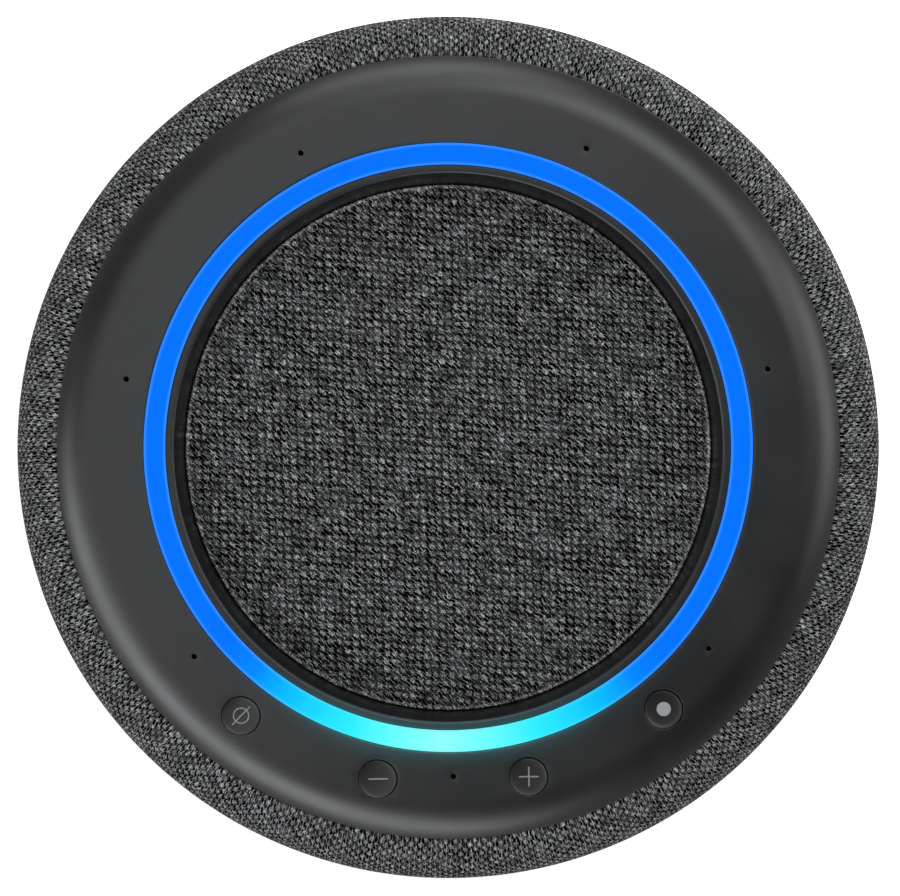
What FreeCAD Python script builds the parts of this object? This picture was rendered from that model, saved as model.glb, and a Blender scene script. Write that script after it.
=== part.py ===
import FreeCAD, Part
import math
import os
import Sketcher

# A cylindrical smart home hub with loudspeakers: a fabric-covered drum that stands on a rubber ring.
# Frame: origin at the centre of the bottom, +Z up, front (buttons and tweeter) towards -Y, +X right.
# All lengths are in millimetres.

DRIVING_DIMENSIONS = {
    # outside
    "outer_radius": 87.5,
    "total_height": 206.0,
    "shoulder_radius": 16.0,
    "fabric_thickness": 1.0,
    "fabric_gap": 0.2,
    "shell_thickness": 2.4,
    # base and bass aperture
    "foot_height": 2.0,
    "cover_thickness": 2.5,
    "base_wall": 2.6,
    "slot_floor": 24.5,
    "slot_roof": 39.5,
    "slot_half_width": 70.0,
    "trim_width": 1.1,
    "port_height": 13.0,
    "port_half_width": 27.0,
    "port_half_height": 6.7,
    # top
    "deck_thickness": 2.4,
    "deck_hole_radius": 61.9,
    "ring_outer_radius": 61.75,
    "ring_inner_radius": 57.35,
    "lip_radius": 55.8,
    "recess_depth": 10.0,
    "recess_floor_radius": 53.9,
    "button_circle": 68.7,
    "button_hole_radius": 4.0,
    "button_gap": 0.2,
    "mic_circle": 66.7,
    "mic_hole_radius": 0.55,
    "icon_depth": 0.25,
    "board_height": 199.0,
    "board_thickness": 1.6,
    # inside
    "baffle_thickness": 5.0,
    "woofer_hole_radius": 60.3,
    "woofer_screw_circle": 68.5,
    "enclosure_radius": 82.0,
    "enclosure_wall": 2.5,
    "enclosure_top": 186.5,
    "driver_face": 74.6,
    "driver_height": 140.0,
    "driver_screw_circle": 26.4,
    "tweeter_face": 77.0,
    "tweeter_height": 152.0,
    "main_board_y": 47.0,
}

BUTTON_STEP = 360.0 / 28.0
BUTTON_ANGLES = {
    "button_mute": -90.0 - 3.0 * BUTTON_STEP,
    "button_volume_down": -90.0 - BUTTON_STEP,
    "button_volume_up": -90.0 + BUTTON_STEP,
    "button_action": -90.0 + 3.0 * BUTTON_STEP,
}
MIC_COUNT = 7
LED_COUNT = 24

document = FreeCAD.newDocument("SmartHomeHub")
sheet = document.addObject("Spreadsheet::Sheet", "Sizes")
for row, (alias, value) in enumerate(DRIVING_DIMENSIONS.items(), start=1):
    sheet.set("A%d" % row, alias)
    sheet.set("B%d" % row, str(value))
    sheet.setAlias("B%d" % row, alias)
document.recompute()

sub_parts = []


# ---------------------------------------------------------------- lengths bound to the sheet

class Size:
    """A length with its present number and the sheet formula that it follows."""

    def __init__(self, number, formula):
        self.number = number
        self.formula = formula

    def __add__(self, other):
        return Size(self.number + number_of(other), "(%s + %s)" % (self.formula, formula_of(other)))

    def __radd__(self, other):
        return Size(number_of(other) + self.number, "(%s + %s)" % (formula_of(other), self.formula))

    def __sub__(self, other):
        return Size(self.number - number_of(other), "(%s - %s)" % (self.formula, formula_of(other)))

    def __rsub__(self, other):
        return Size(number_of(other) - self.number, "(%s - %s)" % (formula_of(other), self.formula))

    def __mul__(self, factor):
        return Size(self.number * factor, "(%s * %.9f)" % (self.formula, factor))

    __rmul__ = __mul__

    def __neg__(self):
        return Size(-self.number, "(0 - %s)" % self.formula)


def number_of(value):
    return value.number if isinstance(value, Size) else float(value)


def formula_of(value):
    return value.formula if isinstance(value, Size) else "(%.6f)" % float(value)


def sheet_size(alias):
    return Size(DRIVING_DIMENSIONS[alias], "Sizes." + alias)


def bind(item, path, value):
    """Give one property its number and, where it follows the sheet, its formula."""
    if isinstance(value, Size):
        item.setExpression(path, value.formula)
    elif "." not in path:
        setattr(item, path, value)


def place(item, x=0.0, y=0.0, z=0.0, rotation=None):
    """Set an item's Placement and bind the coordinates that follow the sheet."""
    turn = rotation or FreeCAD.Rotation()
    item.Placement = FreeCAD.Placement(FreeCAD.Vector(number_of(x), number_of(y), number_of(z)), turn)
    for axis, value in (("x", x), ("y", y), ("z", z)):
        bind(item, "Placement.Base." + axis, value)


def around(radius, degrees):
    """The x and y of a point on a circle about the vertical axis."""
    angle = math.radians(degrees)
    return radius * math.cos(angle), radius * math.sin(angle)


# ---------------------------------------------------------------- sketches and Part Design bodies

def origin_plane(body, role):
    return [item for item in body.Origin.OriginFeatures if item.Role == role][0]


def new_body(label):
    body = document.addObject("PartDesign::Body", label)
    body.Label = label
    return body


def new_sketch(body, name, role, offset=0.0):
    """A sketch on one of the body's origin planes, raised by offset along the plane's normal."""
    sketch = body.newObject("Sketcher::SketchObject", name)
    sketch.AttachmentSupport = (origin_plane(body, role), [""])
    sketch.MapMode = "FlatFace"
    sketch.AttachmentOffset = FreeCAD.Placement(FreeCAD.Vector(0, 0, number_of(offset)), FreeCAD.Rotation())
    if isinstance(offset, Size):
        sketch.setExpression("AttachmentOffset.Base.z", offset.formula)
    return sketch


def fix_coordinate(sketch, kind, geometry, point, value):
    """Hold one point's distance from the sketch origin along one axis."""
    number = number_of(value)
    if abs(number) < 1e-9 and not isinstance(value, Size):
        axis = -2 if kind == "DistanceX" else -1
        sketch.addConstraint(Sketcher.Constraint("PointOnObject", geometry, point, axis))
        return
    if number >= 0:
        index = sketch.addConstraint(Sketcher.Constraint(kind, -1, 1, geometry, point, number))
        formula = formula_of(value)
    else:
        index = sketch.addConstraint(Sketcher.Constraint(kind, geometry, point, -1, 1, -number))
        formula = formula_of(-value)
    if isinstance(value, Size):
        sketch.setExpression("Constraints[%d]" % index, formula)


def vector_2d(point):
    return FreeCAD.Vector(number_of(point[0]), number_of(point[1]), 0)


def draw_outline(sketch, corners):
    """Close an outline. A corner is (x, y), or (x, y, centre) when an arc about centre leads to it."""
    ends = []
    count = len(corners)
    for index, corner in enumerate(corners):
        following = corners[(index + 1) % count]
        start = vector_2d(corner)
        finish = vector_2d(following)
        if len(following) == 3:
            centre = vector_2d(following[2])
            radius = (start - centre).Length
            first = math.atan2(start.y - centre.y, start.x - centre.x)
            last = math.atan2(finish.y - centre.y, finish.x - centre.x)
            forward = (last - first) % (2 * math.pi) < math.pi
            low, high = (first, last) if forward else (last, first)
            circle = Part.Circle(centre, FreeCAD.Vector(0, 0, 1), radius)
            edge = sketch.addGeometry(Part.ArcOfCircle(circle, low, high))
            fix_coordinate(sketch, "DistanceX", edge, 3, following[2][0])
            fix_coordinate(sketch, "DistanceY", edge, 3, following[2][1])
            ends.append((edge, 1, 2) if forward else (edge, 2, 1))
        else:
            edge = sketch.addGeometry(Part.LineSegment(start, finish))
            ends.append((edge, 1, 2))
    for index in range(count):
        edge, _, finish = ends[index]
        following, start, _ = ends[(index + 1) % count]
        sketch.addConstraint(Sketcher.Constraint("Coincident", edge, finish, following, start))
    for index, corner in enumerate(corners):
        edge, start, _ = ends[index]
        across, along = True, True
        if len(corner) == 3:
            lever = vector_2d(corner) - vector_2d(corner[2])
            across = abs(lever.y) > abs(lever.x)
            along = not across
        if across:
            fix_coordinate(sketch, "DistanceX", edge, start, corner[0])
        if along:
            fix_coordinate(sketch, "DistanceY", edge, start, corner[1])


def draw_circle(sketch, x, y, radius):
    centre = FreeCAD.Vector(number_of(x), number_of(y), 0)
    edge = sketch.addGeometry(Part.Circle(centre, FreeCAD.Vector(0, 0, 1), number_of(radius)))
    fix_coordinate(sketch, "DistanceX", edge, 3, x)
    fix_coordinate(sketch, "DistanceY", edge, 3, y)
    index = sketch.addConstraint(Sketcher.Constraint("Radius", edge, number_of(radius)))
    if isinstance(radius, Size):
        sketch.setExpression("Constraints[%d]" % index, radius.formula)


def rectangle(x_low, x_high, y_low, y_high):
    return [(x_low, y_low), (x_high, y_low), (x_high, y_high), (x_low, y_high)]


def stadium(half_width, middle, radius):
    """A slot outline with round ends, centred on x = 0 at the height called middle."""
    straight = half_width - radius
    left, right = (-straight, middle), (straight, middle)
    return [
        (-straight, middle - radius, left), (straight, middle - radius), (half_width, middle, right),
        (straight, middle + radius, right), (-straight, middle + radius), (-half_width, middle, left),
    ]


def turned(label, corners):
    """A body made by turning one outline (radius, height) about the vertical axis."""
    body = new_body(label)
    sketch = new_sketch(body, label + "_outline", "XZ_Plane")
    draw_outline(sketch, corners)
    turn = body.newObject("PartDesign::Revolution", label + "_turn")
    turn.Profile = sketch
    turn.ReferenceAxis = (sketch, ["V_Axis"])
    turn.Angle = 360
    document.recompute()
    return body


def pad(body, name, sketch, length, both_ways=False):
    feature = body.newObject("PartDesign::Pad", name)
    feature.Profile = sketch
    bind(feature, "Length", length)
    feature.Midplane = both_ways
    document.recompute()
    return feature


def pocket(body, name, sketch, length, both_ways=False):
    """Cut a sketch away and make sure that something was removed."""
    before = body.Shape.Volume
    feature = body.newObject("PartDesign::Pocket", name)
    feature.Profile = sketch
    bind(feature, "Length", length)
    feature.Midplane = both_ways
    document.recompute()
    if body.Shape.Volume >= before - 1e-6:
        raise RuntimeError("%s removes nothing" % name)
    return feature


def repeat_around(body, name, feature, sketch, count):
    """Repeat a feature about the vertical axis, which is the given XY sketch's normal."""
    pattern = body.newObject("PartDesign::PolarPattern", name)
    pattern.Originals = [feature]
    pattern.Axis = (sketch, ["N_Axis"])
    pattern.Angle = 360
    pattern.Occurrences = count
    body.Tip = pattern
    document.recompute()
    return pattern


def round_holes(body, name, top, circles, depth, count=1):
    """Cut round holes down from a height; circles lists (x, y, radius)."""
    sketch = new_sketch(body, name + "_sketch", "XY_Plane", top)
    for x, y, radius in circles:
        draw_circle(sketch, x, y, radius)
    feature = pocket(body, name, sketch, depth)
    if count > 1:
        repeat_around(body, name + "_ring", feature, sketch, count)


def round_posts(body, name, bottom, circles, height, count=1):
    """Raise round posts from a height; circles lists (x, y, radius)."""
    sketch = new_sketch(body, name + "_sketch", "XY_Plane", bottom)
    for x, y, radius in circles:
        draw_circle(sketch, x, y, radius)
    feature = pad(body, name, sketch, height)
    if count > 1:
        repeat_around(body, name + "_ring", feature, sketch, count)


def finish(item, label):
    item.Label = label
    sub_parts.append(item)
    return item


# ---------------------------------------------------------------- Part primitives and booleans

def block(name, x_range, y_range, z_range):
    """A box between two values on each axis."""
    item = document.addObject("Part::Box", name)
    for path, (low, high) in (("Length", x_range), ("Width", y_range), ("Height", z_range)):
        bind(item, path, high - low)
    place(item, x_range[0], y_range[0], z_range[0])
    return item


DIRECTIONS = {
    "+x": (1, 0, 0), "-x": (-1, 0, 0), "+y": (0, 1, 0), "-y": (0, -1, 0), "+z": (0, 0, 1), "-z": (0, 0, -1),
}


def rod(name, radius, length, start, direction):
    """A cylinder from a start point along one of the six directions."""
    item = document.addObject("Part::Cylinder", name)
    bind(item, "Radius", radius)
    bind(item, "Height", length)
    turn = FreeCAD.Rotation(FreeCAD.Vector(0, 0, 1), FreeCAD.Vector(*DIRECTIONS[direction]))
    place(item, start[0], start[1], start[2], turn)
    return item


def together(name, pieces):
    item = document.addObject("Part::MultiFuse", name)
    item.Shapes = pieces
    return item


def without(name, base, tool):
    item = document.addObject("Part::Cut", name)
    item.Base = base
    item.Tool = tool
    return item


def shared(name, first, second):
    item = document.addObject("Part::MultiCommon", name)
    item.Shapes = [first, second]
    return item


# ---------------------------------------------------------------- shared sizes

outer_radius = sheet_size("outer_radius")
total_height = sheet_size("total_height")
shoulder_radius = sheet_size("shoulder_radius")
fabric_thickness = sheet_size("fabric_thickness")
foot_height = sheet_size("foot_height")
slot_floor = sheet_size("slot_floor")
slot_roof = sheet_size("slot_roof")
slot_half_width = sheet_size("slot_half_width")
port_height = sheet_size("port_height")
port_half_width = sheet_size("port_half_width")
port_half_height = sheet_size("port_half_height")
board_height = sheet_size("board_height")
board_thickness = sheet_size("board_thickness")
button_circle = sheet_size("button_circle")
enclosure_radius = sheet_size("enclosure_radius")
enclosure_top = sheet_size("enclosure_top")
main_board_y = sheet_size("main_board_y")

shoulder_centre = (outer_radius - shoulder_radius, total_height - shoulder_radius)
backing_radius = outer_radius - fabric_thickness - sheet_size("fabric_gap")
cover_top = foot_height + sheet_size("cover_thickness")
slot_middle = (slot_floor + slot_roof) * 0.5
slot_end_radius = (slot_roof - slot_floor) * 0.5
baffle_top = slot_roof + sheet_size("baffle_thickness")
board_top = board_height + board_thickness
deck_underside = total_height - sheet_size("deck_thickness")
plate_underside = slot_floor - 2.5


def on_shoulder(radius, degrees):
    """A point at an angle above the horizontal on a circle about the shoulder's centre."""
    angle = math.radians(degrees)
    return (
        shoulder_centre[0] + radius * math.cos(angle),
        shoulder_centre[1] + radius * math.sin(angle),
    )


# ---------------------------------------------------------------- base

def make_foot_ring():
    body = turned("foot_ring", [
        (62.6, 0), (75.4, 0), (76.0, 0.6), (76.0, foot_height), (62.0, foot_height), (62.0, 0.6),
    ])
    finish(body, "foot_ring")


BASE_SCREW_CIRCLE = 70.0
BOARD_POST = (46.0, 34.0)


def make_bottom_cover():
    body = turned("bottom_cover", [
        (0, foot_height), (83.4, foot_height), (85.4, foot_height + 1.8), (85.4, cover_top), (0, cover_top),
    ])
    x, y = around(BASE_SCREW_CIRCLE, 45.0)
    round_holes(body, "screw_holes", cover_top, [(x, y, 1.6)], cover_top - foot_height, 4)
    recess_top = foot_height + 1.6
    round_holes(body, "screw_recesses", recess_top, [(x, y, 3.1)], 1.6, 4)
    posts = [(sx * BOARD_POST[0], sy * BOARD_POST[1], 3.0) for sx in (1, -1) for sy in (1, -1)]
    round_posts(body, "board_posts", cover_top, posts, 2.5)
    finish(body, "bottom_cover")


def make_base_shell():
    inner_radius = backing_radius - sheet_size("base_wall")
    shell_bottom = cover_top + 0.1
    body = turned("base_shell", [
        (0, plate_underside), (inner_radius, plate_underside), (inner_radius, shell_bottom),
        (backing_radius, shell_bottom), (backing_radius, slot_floor), (0, slot_floor),
    ])
    x, y = around(BASE_SCREW_CIRCLE, 45.0)
    sketch = new_sketch(body, "bosses_sketch", "XY_Plane", shell_bottom)
    draw_circle(sketch, x, y, 4.2)
    draw_circle(sketch, x, y, 1.55)
    feature = pad(body, "bosses", sketch, plate_underside - shell_bottom)
    repeat_around(body, "bosses_ring", feature, sketch, 4)
    window = new_sketch(body, "port_window_sketch", "XZ_Plane")
    draw_outline(window, rectangle(
        -(port_half_width + 0.6), port_half_width + 0.6,
        port_height - port_half_height - 0.4, port_height + port_half_height + 0.4,
    ))
    pocket(body, "port_window", window, outer_radius + 5)
    finish(body, "base_shell")


MAINS_X = -14.0
SERVICE_X = 8.0
AUDIO_X = 20.0
PORT_FACE = 81.5
MAINS_LOBE_RADIUS = 4.25
MAINS_LOBE_OFFSET = 3.0
MAINS_WAIST = 7.2
MAINS_DEPTH = 12.0
AUDIO_BORE_RADIUS = 1.8
AUDIO_BORE_LENGTH = 12.0


def figure_eight(name, growth, y_start, length):
    """The mains socket's opening: two round lobes joined by a narrower waist, along +y."""
    radius = MAINS_LOBE_RADIUS + growth
    half_waist = MAINS_WAIST / 2 + growth
    middles = (MAINS_X - MAINS_LOBE_OFFSET, MAINS_X + MAINS_LOBE_OFFSET)
    lobes = [
        rod("%s_lobe_%d" % (name, index), radius, length, (x, y_start, port_height), "+y")
        for index, x in enumerate(middles)
    ]
    waist = block(
        name + "_waist", middles, (y_start, y_start + length),
        (port_height - half_waist, port_height + half_waist),
    )
    return together(name, lobes + [waist])


def make_port_panel():
    low = port_height - port_half_height
    drum = rod("panel_drum", outer_radius - 0.1, port_half_height * 2, (0, 0, low), "+z")
    slab = block(
        "panel_slab", (-port_half_width, port_half_width), (PORT_FACE, outer_radius + 2),
        (port_height - port_half_height - 1, port_height + port_half_height + 1),
    )
    openings = together("panel_openings", [
        figure_eight("panel_mains", 0.15, PORT_FACE - 1, 9.0),
        rod("panel_audio", 3.4, 9.0, (AUDIO_X, PORT_FACE - 1, port_height), "+y"),
        block("panel_service", (SERVICE_X - 4.3, SERVICE_X + 4.3), (PORT_FACE - 1, PORT_FACE + 8),
              (port_height - 1.8, port_height + 1.8)),
    ])
    finish(without("port_panel", shared("panel_plug", drum, slab), openings), "port_panel")


def make_mains_inlet():
    bottom = PORT_FACE - 0.1 - MAINS_DEPTH
    housing = block("mains_housing", (MAINS_X - 10.5, MAINS_X + 10.5), (bottom - 2.5, PORT_FACE - 0.1),
                    (port_height - 6.2, port_height + 6.2))
    finish(without("mains_inlet", housing, figure_eight("mains_cavity", 0.0, bottom, 14.0)), "mains_inlet")
    pins = [
        rod("mains_pin_%d" % index, 1.2, 9.5, (MAINS_X + side * 4.3, bottom, port_height), "+y")
        for index, side in enumerate((-1, 1))
    ]
    finish(together("mains_pins", pins), "mains_pins")


def make_audio_jack():
    mouth = PORT_FACE - 0.1
    housing = block("audio_housing", (AUDIO_X - 6, AUDIO_X + 6), (mouth - AUDIO_BORE_LENGTH - 1.5, mouth),
                    (port_height - 3.6, port_height + 3.6))
    bore_end = (AUDIO_X, mouth - AUDIO_BORE_LENGTH, port_height)
    bore = rod("audio_bore", AUDIO_BORE_RADIUS, AUDIO_BORE_LENGTH + 1, bore_end, "+y")
    finish(without("audio_jack", housing, bore), "audio_jack")


def make_service_port():
    mouth = PORT_FACE + 1.5
    shell = block("service_shell", (SERVICE_X - 4.0, SERVICE_X + 4.0), (mouth - 6.0, mouth),
                  (port_height - 1.5, port_height + 1.5))
    slot = block("service_slot", (SERVICE_X - 3.45, SERVICE_X + 3.45), (mouth - 5.2, mouth + 1),
                 (port_height - 0.95, port_height + 0.95))
    finish(without("service_port", shell, slot), "service_port")


def make_power_supply():
    bottom = cover_top + 2.5
    top = bottom + board_thickness
    board = block("power_board", (-51.0, 51.0), (-42.0, 40.0), (bottom, top))
    finish(board, "power_board")
    transformer = together("transformer", [
        block("transformer_core", (-32.0, 2.0), (-16.0, 14.0), (top, top + 12.2)),
        block("transformer_winding", (-26.0, -4.0), (-20.0, 18.0), (top + 2.0, top + 10.5)),
    ])
    finish(transformer, "transformer")
    cans = [
        rod("capacitor_%d" % index, radius, height, (x, y, top), "+z")
        for index, (x, y, radius, height) in enumerate((
            (22.0, -26.0, 6.0, 12.0), (22.0, -11.0, 6.0, 12.0), (37.0, -19.0, 6.0, 12.0),
            (20.0, 10.0, 4.0, 11.0), (31.0, 10.0, 4.0, 11.0),
        ))
    ]
    finish(together("capacitors", cans), "capacitors")


def make_pillar(label, side):
    """One solid side of the bass aperture, between the base and the upper drum."""
    drum = rod(label + "_drum", backing_radius, slot_roof - slot_floor, (0, 0, slot_floor), "+z")
    low, high = (slot_half_width - 5.0, outer_radius) if side > 0 else (-outer_radius, 5.0 - slot_half_width)
    half = block(label + "_half", (low, high), (-outer_radius, outer_radius), (slot_floor, slot_roof))
    round_end = rod(
        label + "_round_end", slot_end_radius, outer_radius * 2,
        (side * (slot_half_width - slot_end_radius), -outer_radius, slot_middle), "+y",
    )
    finish(without(label, shared(label + "_segment", drum, half), round_end), label)


def make_aperture_trims():
    """Plastic edging in the front and back mouths of the bass aperture, in one node."""
    trim_width = sheet_size("trim_width")
    sleeve = new_body("trim_sleeve")
    sketch = new_sketch(sleeve, "trim_outline", "XZ_Plane")
    draw_outline(sketch, stadium(slot_half_width - 0.1, slot_middle, slot_end_radius - 0.1))
    draw_outline(sketch, stadium(slot_half_width - trim_width, slot_middle, slot_end_radius - trim_width))
    pad(sleeve, "trim_pad", sketch, outer_radius * 2.2, both_ways=True)
    outside = rod("trim_outside", outer_radius - 0.05, slot_roof, (0, 0, 0), "+z")
    inside = rod("trim_inside", backing_radius - 2.4, slot_roof + 1, (0, 0, 0), "+z")
    finish(shared("aperture_trims", sleeve, without("trim_drum", outside, inside)), "aperture_trims")


# ---------------------------------------------------------------- woofer

WOOFER_SCREWS = 6


def make_woofer_baffle():
    hole = sheet_size("woofer_hole_radius")
    rim = backing_radius - sheet_size("shell_thickness") - 0.2
    body = turned("woofer_baffle", [
        (hole + 1.5, slot_roof), (rim, slot_roof), (rim, baffle_top),
        (hole, baffle_top), (hole, slot_roof + 1.5),
    ])
    circle = sheet_size("woofer_screw_circle")
    round_holes(body, "screw_bores", baffle_top, [(circle, 0, 1.55)], 4.2, WOOFER_SCREWS)
    finish(body, "woofer_baffle")


def make_woofer_frame():
    """Steel basket: flange on the baffle, windowed cone wall, and a ring that carries the magnet."""
    base = baffle_top
    body = turned("woofer_frame", [
        (59.2, base + 1.1), (59.2, base + 2.7), (38.6, base + 28.5), (38.6, base + 31.1), (20.0, base + 31.1),
        (20.0, base + 33.4), (41.0, base + 33.4), (41.0, base + 29.7), (62.6, base + 3.1), (66.5, base + 3.1),
        (66.5, base + 0.1), (63.6, base + 0.1), (63.6, base + 1.1),
    ])
    window = new_sketch(body, "window_sketch", "XY_Plane", base + 30)
    inner, outer = 43.5, 57.0
    left, right = 12.0, 48.0
    draw_outline(window, [
        around(inner, left), around(outer, left), around(outer, right), around(inner, right),
    ])
    feature = pocket(body, "window", window, 30)
    repeat_around(body, "windows", feature, window, 6)
    circle = sheet_size("woofer_screw_circle")
    round_posts(body, "ears", base + 0.1, [(circle, 0, 4.4)], 3.0, WOOFER_SCREWS)
    round_holes(body, "ear_holes", base + 3.1, [(circle, 0, 1.7)], 3.0, WOOFER_SCREWS)
    finish(body, "woofer_frame")


def make_woofer_magnet():
    """Yoke with centre pole, ferrite ring and front plate, glued into one motor."""
    base = baffle_top + 33.5
    body = turned("woofer_magnet", [
        (0, base + 1.1), (15.8, base + 1.1), (15.8, base + 20), (22.0, base + 20), (22.0, base + 5),
        (18.4, base + 5), (18.4, base), (38.0, base), (38.0, base + 5), (43.0, base + 5), (43.0, base + 20),
        (38.0, base + 20), (38.0, base + 25), (0, base + 25),
    ])
    finish(body, "woofer_magnet")


def make_woofer_cone():
    base = baffle_top
    body = turned("woofer_cone", [
        (51.0, base + 1.5), (51.0, base + 2.3), (49.0, base + 2.3), (17.0, base + 20.8),
        (17.0, base + 31.5), (17.7, base + 31.5), (17.7, base + 41.5), (16.4, base + 41.5),
        (16.4, base + 19.9), (48.4, base + 1.5),
    ])
    finish(body, "woofer_cone")


def make_woofer_dust_cap():
    """A shallow dome of the given sphere, bulging down towards the aperture."""
    base = baffle_top
    sphere, skin, edge, apex = 46.0, 0.6, 21.3, 11.0
    centre = (0, base + (apex + sphere))
    outer_drop = math.sqrt(sphere ** 2 - edge ** 2)
    inner_drop = math.sqrt((sphere - skin) ** 2 - edge ** 2)
    body = turned("woofer_dust_cap", [
        (0, base + apex), (edge, base + (apex + sphere - outer_drop), centre),
        (edge, base + (apex + sphere - inner_drop)), (0, base + (apex + skin), centre),
    ])
    finish(body, "woofer_dust_cap")


def make_woofer_surround():
    level = baffle_top + 0.1
    roll, skin = 3.4, 0.7
    centre = (54.4, level)
    body = turned("woofer_surround", [
        (48.9, level), (54.4 - roll, level), (54.4, level - roll, centre), (54.4 + roll, level, centre),
        (63.3, level), (63.3, level + 0.9), (54.4 + roll - skin, level + 0.9), (54.4 + roll - skin, level),
        (54.4, level - (roll - skin), centre), (54.4 - roll + skin, level, centre),
        (54.4 - roll + skin, level + 1.3), (48.9, level + 1.3),
    ])
    finish(body, "woofer_surround")


def make_woofer_spider():
    """Corrugated centring disc between the voice coil former and the basket."""
    inner, outer, waves, skin, swing = 17.25, 38.4, 6, 0.6, 1.4
    level = baffle_top + 28.6
    step = (outer - inner) / (2 * waves)
    lower = [(inner + index * step, level + (swing if index % 2 else 0.0)) for index in range(2 * waves + 1)]
    upper = [(radius, height + skin) for radius, height in reversed(lower)]
    finish(turned("woofer_spider", lower + upper), "woofer_spider")


# ---------------------------------------------------------------- midrange drivers and tweeter

DRIVER_EARS = 4
TWEETER_SCREWS = 3
TWEETER_SCREW_CIRCLE = 19.6
FACE_RIGHT = FreeCAD.Rotation(FreeCAD.Vector(0, 1, 0), 90)
FACE_LEFT = FreeCAD.Rotation(FreeCAD.Vector(0, 1, 0), -90)
FACE_UP = FreeCAD.Rotation()
FACE_FRONT = FreeCAD.Rotation(FreeCAD.Vector(1, 0, 0), 90)
TOP_DRIVER_FACE = enclosure_top + 1.6

DRIVER_PLACES = {
    "left": (-sheet_size("driver_face"), 0, sheet_size("driver_height"), FACE_LEFT),
    "right": (sheet_size("driver_face"), 0, sheet_size("driver_height"), FACE_RIGHT),
    "top": (0, 0, TOP_DRIVER_FACE, FACE_UP),
}


def make_driver_frame(side):
    label = side + "_driver_frame"
    body = turned(label, [
        (20.6, 0), (25.5, 0), (25.5, -1.6), (22.2, -1.6), (15.2, -12.0), (15.2, -13.2), (7.6, -13.2),
        (7.6, -12.2), (13.8, -12.2), (13.8, -11.6), (20.6, -1.8),
    ])
    window = new_sketch(body, label + "_window_sketch", "XY_Plane", 0.0)
    inner, outer = 15.9, 20.0
    left, right = 18.0, 72.0
    draw_outline(window, [
        around(inner, left), around(outer, left), around(outer, right), around(inner, right),
    ])
    feature = pocket(body, label + "_window", window, 14)
    repeat_around(body, label + "_windows", feature, window, 4)
    x, y = around(sheet_size("driver_screw_circle"), 45.0)
    round_posts(body, label + "_ears", -1.6, [(x, y, 3.2)], 1.6, DRIVER_EARS)
    round_holes(body, label + "_ear_holes", 0.0, [(x, y, 1.2)], 1.6, DRIVER_EARS)
    place(body, *DRIVER_PLACES[side])
    finish(body, label)


def make_driver_magnet(side):
    label = side + "_driver_magnet"
    body = turned(label, [
        (0, -14.2), (5.5, -14.2), (5.5, -22.0), (9.0, -22.0), (9.0, -15.8), (7.4, -15.8), (7.4, -13.3),
        (14.0, -13.3), (14.0, -15.8), (16.5, -15.8), (16.5, -22.0), (14.0, -22.0), (14.0, -24.8), (0, -24.8),
    ])
    place(body, *DRIVER_PLACES[side])
    finish(body, label)


def make_driver_cone(side):
    """Cone, dust cap and voice coil of a 51 mm midrange driver, moulded in one."""
    label = side + "_driver_cone"
    sphere, skin, cap_edge, cap_top, former = 12.24, 0.6, 7.0, -5.0, 5.9
    centre = (0, cap_top - sphere)
    outer_end = cap_top - sphere + math.sqrt(sphere ** 2 - cap_edge ** 2)
    inner_end = cap_top - sphere + math.sqrt((sphere - skin) ** 2 - former ** 2)
    body = turned(label, [
        (18.0, -0.9), (18.0, -0.3), (16.8, -0.3), (cap_edge, outer_end), (0, cap_top, centre),
        (0, cap_top - skin), (former, inner_end, centre), (former, -19.5), (6.4, -19.5),
        (6.4, -8.5), (16.6, -0.9),
    ])
    place(body, *DRIVER_PLACES[side])
    finish(body, label)


def make_driver_surround(side):
    label = side + "_driver_surround"
    middle, level, roll, skin, lip_top = 19.8, 0.1, 1.9, 0.5, 0.6
    centre = (middle, level)
    reach = math.sqrt(roll ** 2 - (lip_top - level) ** 2)
    inner_roll = roll - skin
    body = turned(label, [
        (17.0, -0.25), (middle - inner_roll, -0.25), (middle - inner_roll, level),
        (middle, level + inner_roll, centre), (middle + inner_roll, level, centre),
        (23.4, level), (23.4, lip_top), (middle + reach, lip_top), (middle, level + roll, centre),
        (middle - reach, lip_top, centre), (17.0, lip_top),
    ])
    place(body, *DRIVER_PLACES[side])
    finish(body, label)


def make_tweeter():
    seat = (0, -sheet_size("tweeter_face"), sheet_size("tweeter_height"), FACE_FRONT)
    plate = turned("tweeter_faceplate", [(14.6, -2.3), (21.5, -2.3), (21.5, 0), (16.4, 0), (14.6, -1.4)])
    x, y = around(TWEETER_SCREW_CIRCLE, 90.0)
    round_holes(plate, "plate_holes", 0.0, [(x, y, 0.9)], 2.3, TWEETER_SCREWS)
    place(plate, *seat)
    finish(plate, "tweeter_faceplate")
    sphere, skin, edge, apex, former = 23.12, 0.4, 12.7, 2.4, 12.2
    centre = (0, apex - sphere)
    outer_end = apex - sphere + math.sqrt(sphere ** 2 - edge ** 2)
    inner_end = apex - sphere + math.sqrt((sphere - skin) ** 2 - former ** 2)
    dome = turned("tweeter_dome", [
        (14.3, -1.7), (14.3, -1.4), (edge, outer_end), (0, apex, centre), (0, apex - skin),
        (former, inner_end, centre), (former, -7.0), (12.6, -7.0), (12.6, -1.7),
    ])
    place(dome, *seat)
    finish(dome, "tweeter_dome")
    magnet = turned("tweeter_magnet", [
        (0, -3.0), (11.6, -3.0), (11.6, -9.5), (14.6, -9.5), (14.6, -5.2), (13.2, -5.2), (13.2, -2.4),
        (17.0, -2.4), (17.0, -12.5), (0, -12.5),
    ])
    place(magnet, *seat)
    finish(magnet, "tweeter_magnet")


# ---------------------------------------------------------------- inner enclosure and its electronics

def ring_of_points(radius, first, count):
    return [around(radius, first + index * 360.0 / count) for index in range(count)]


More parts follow.
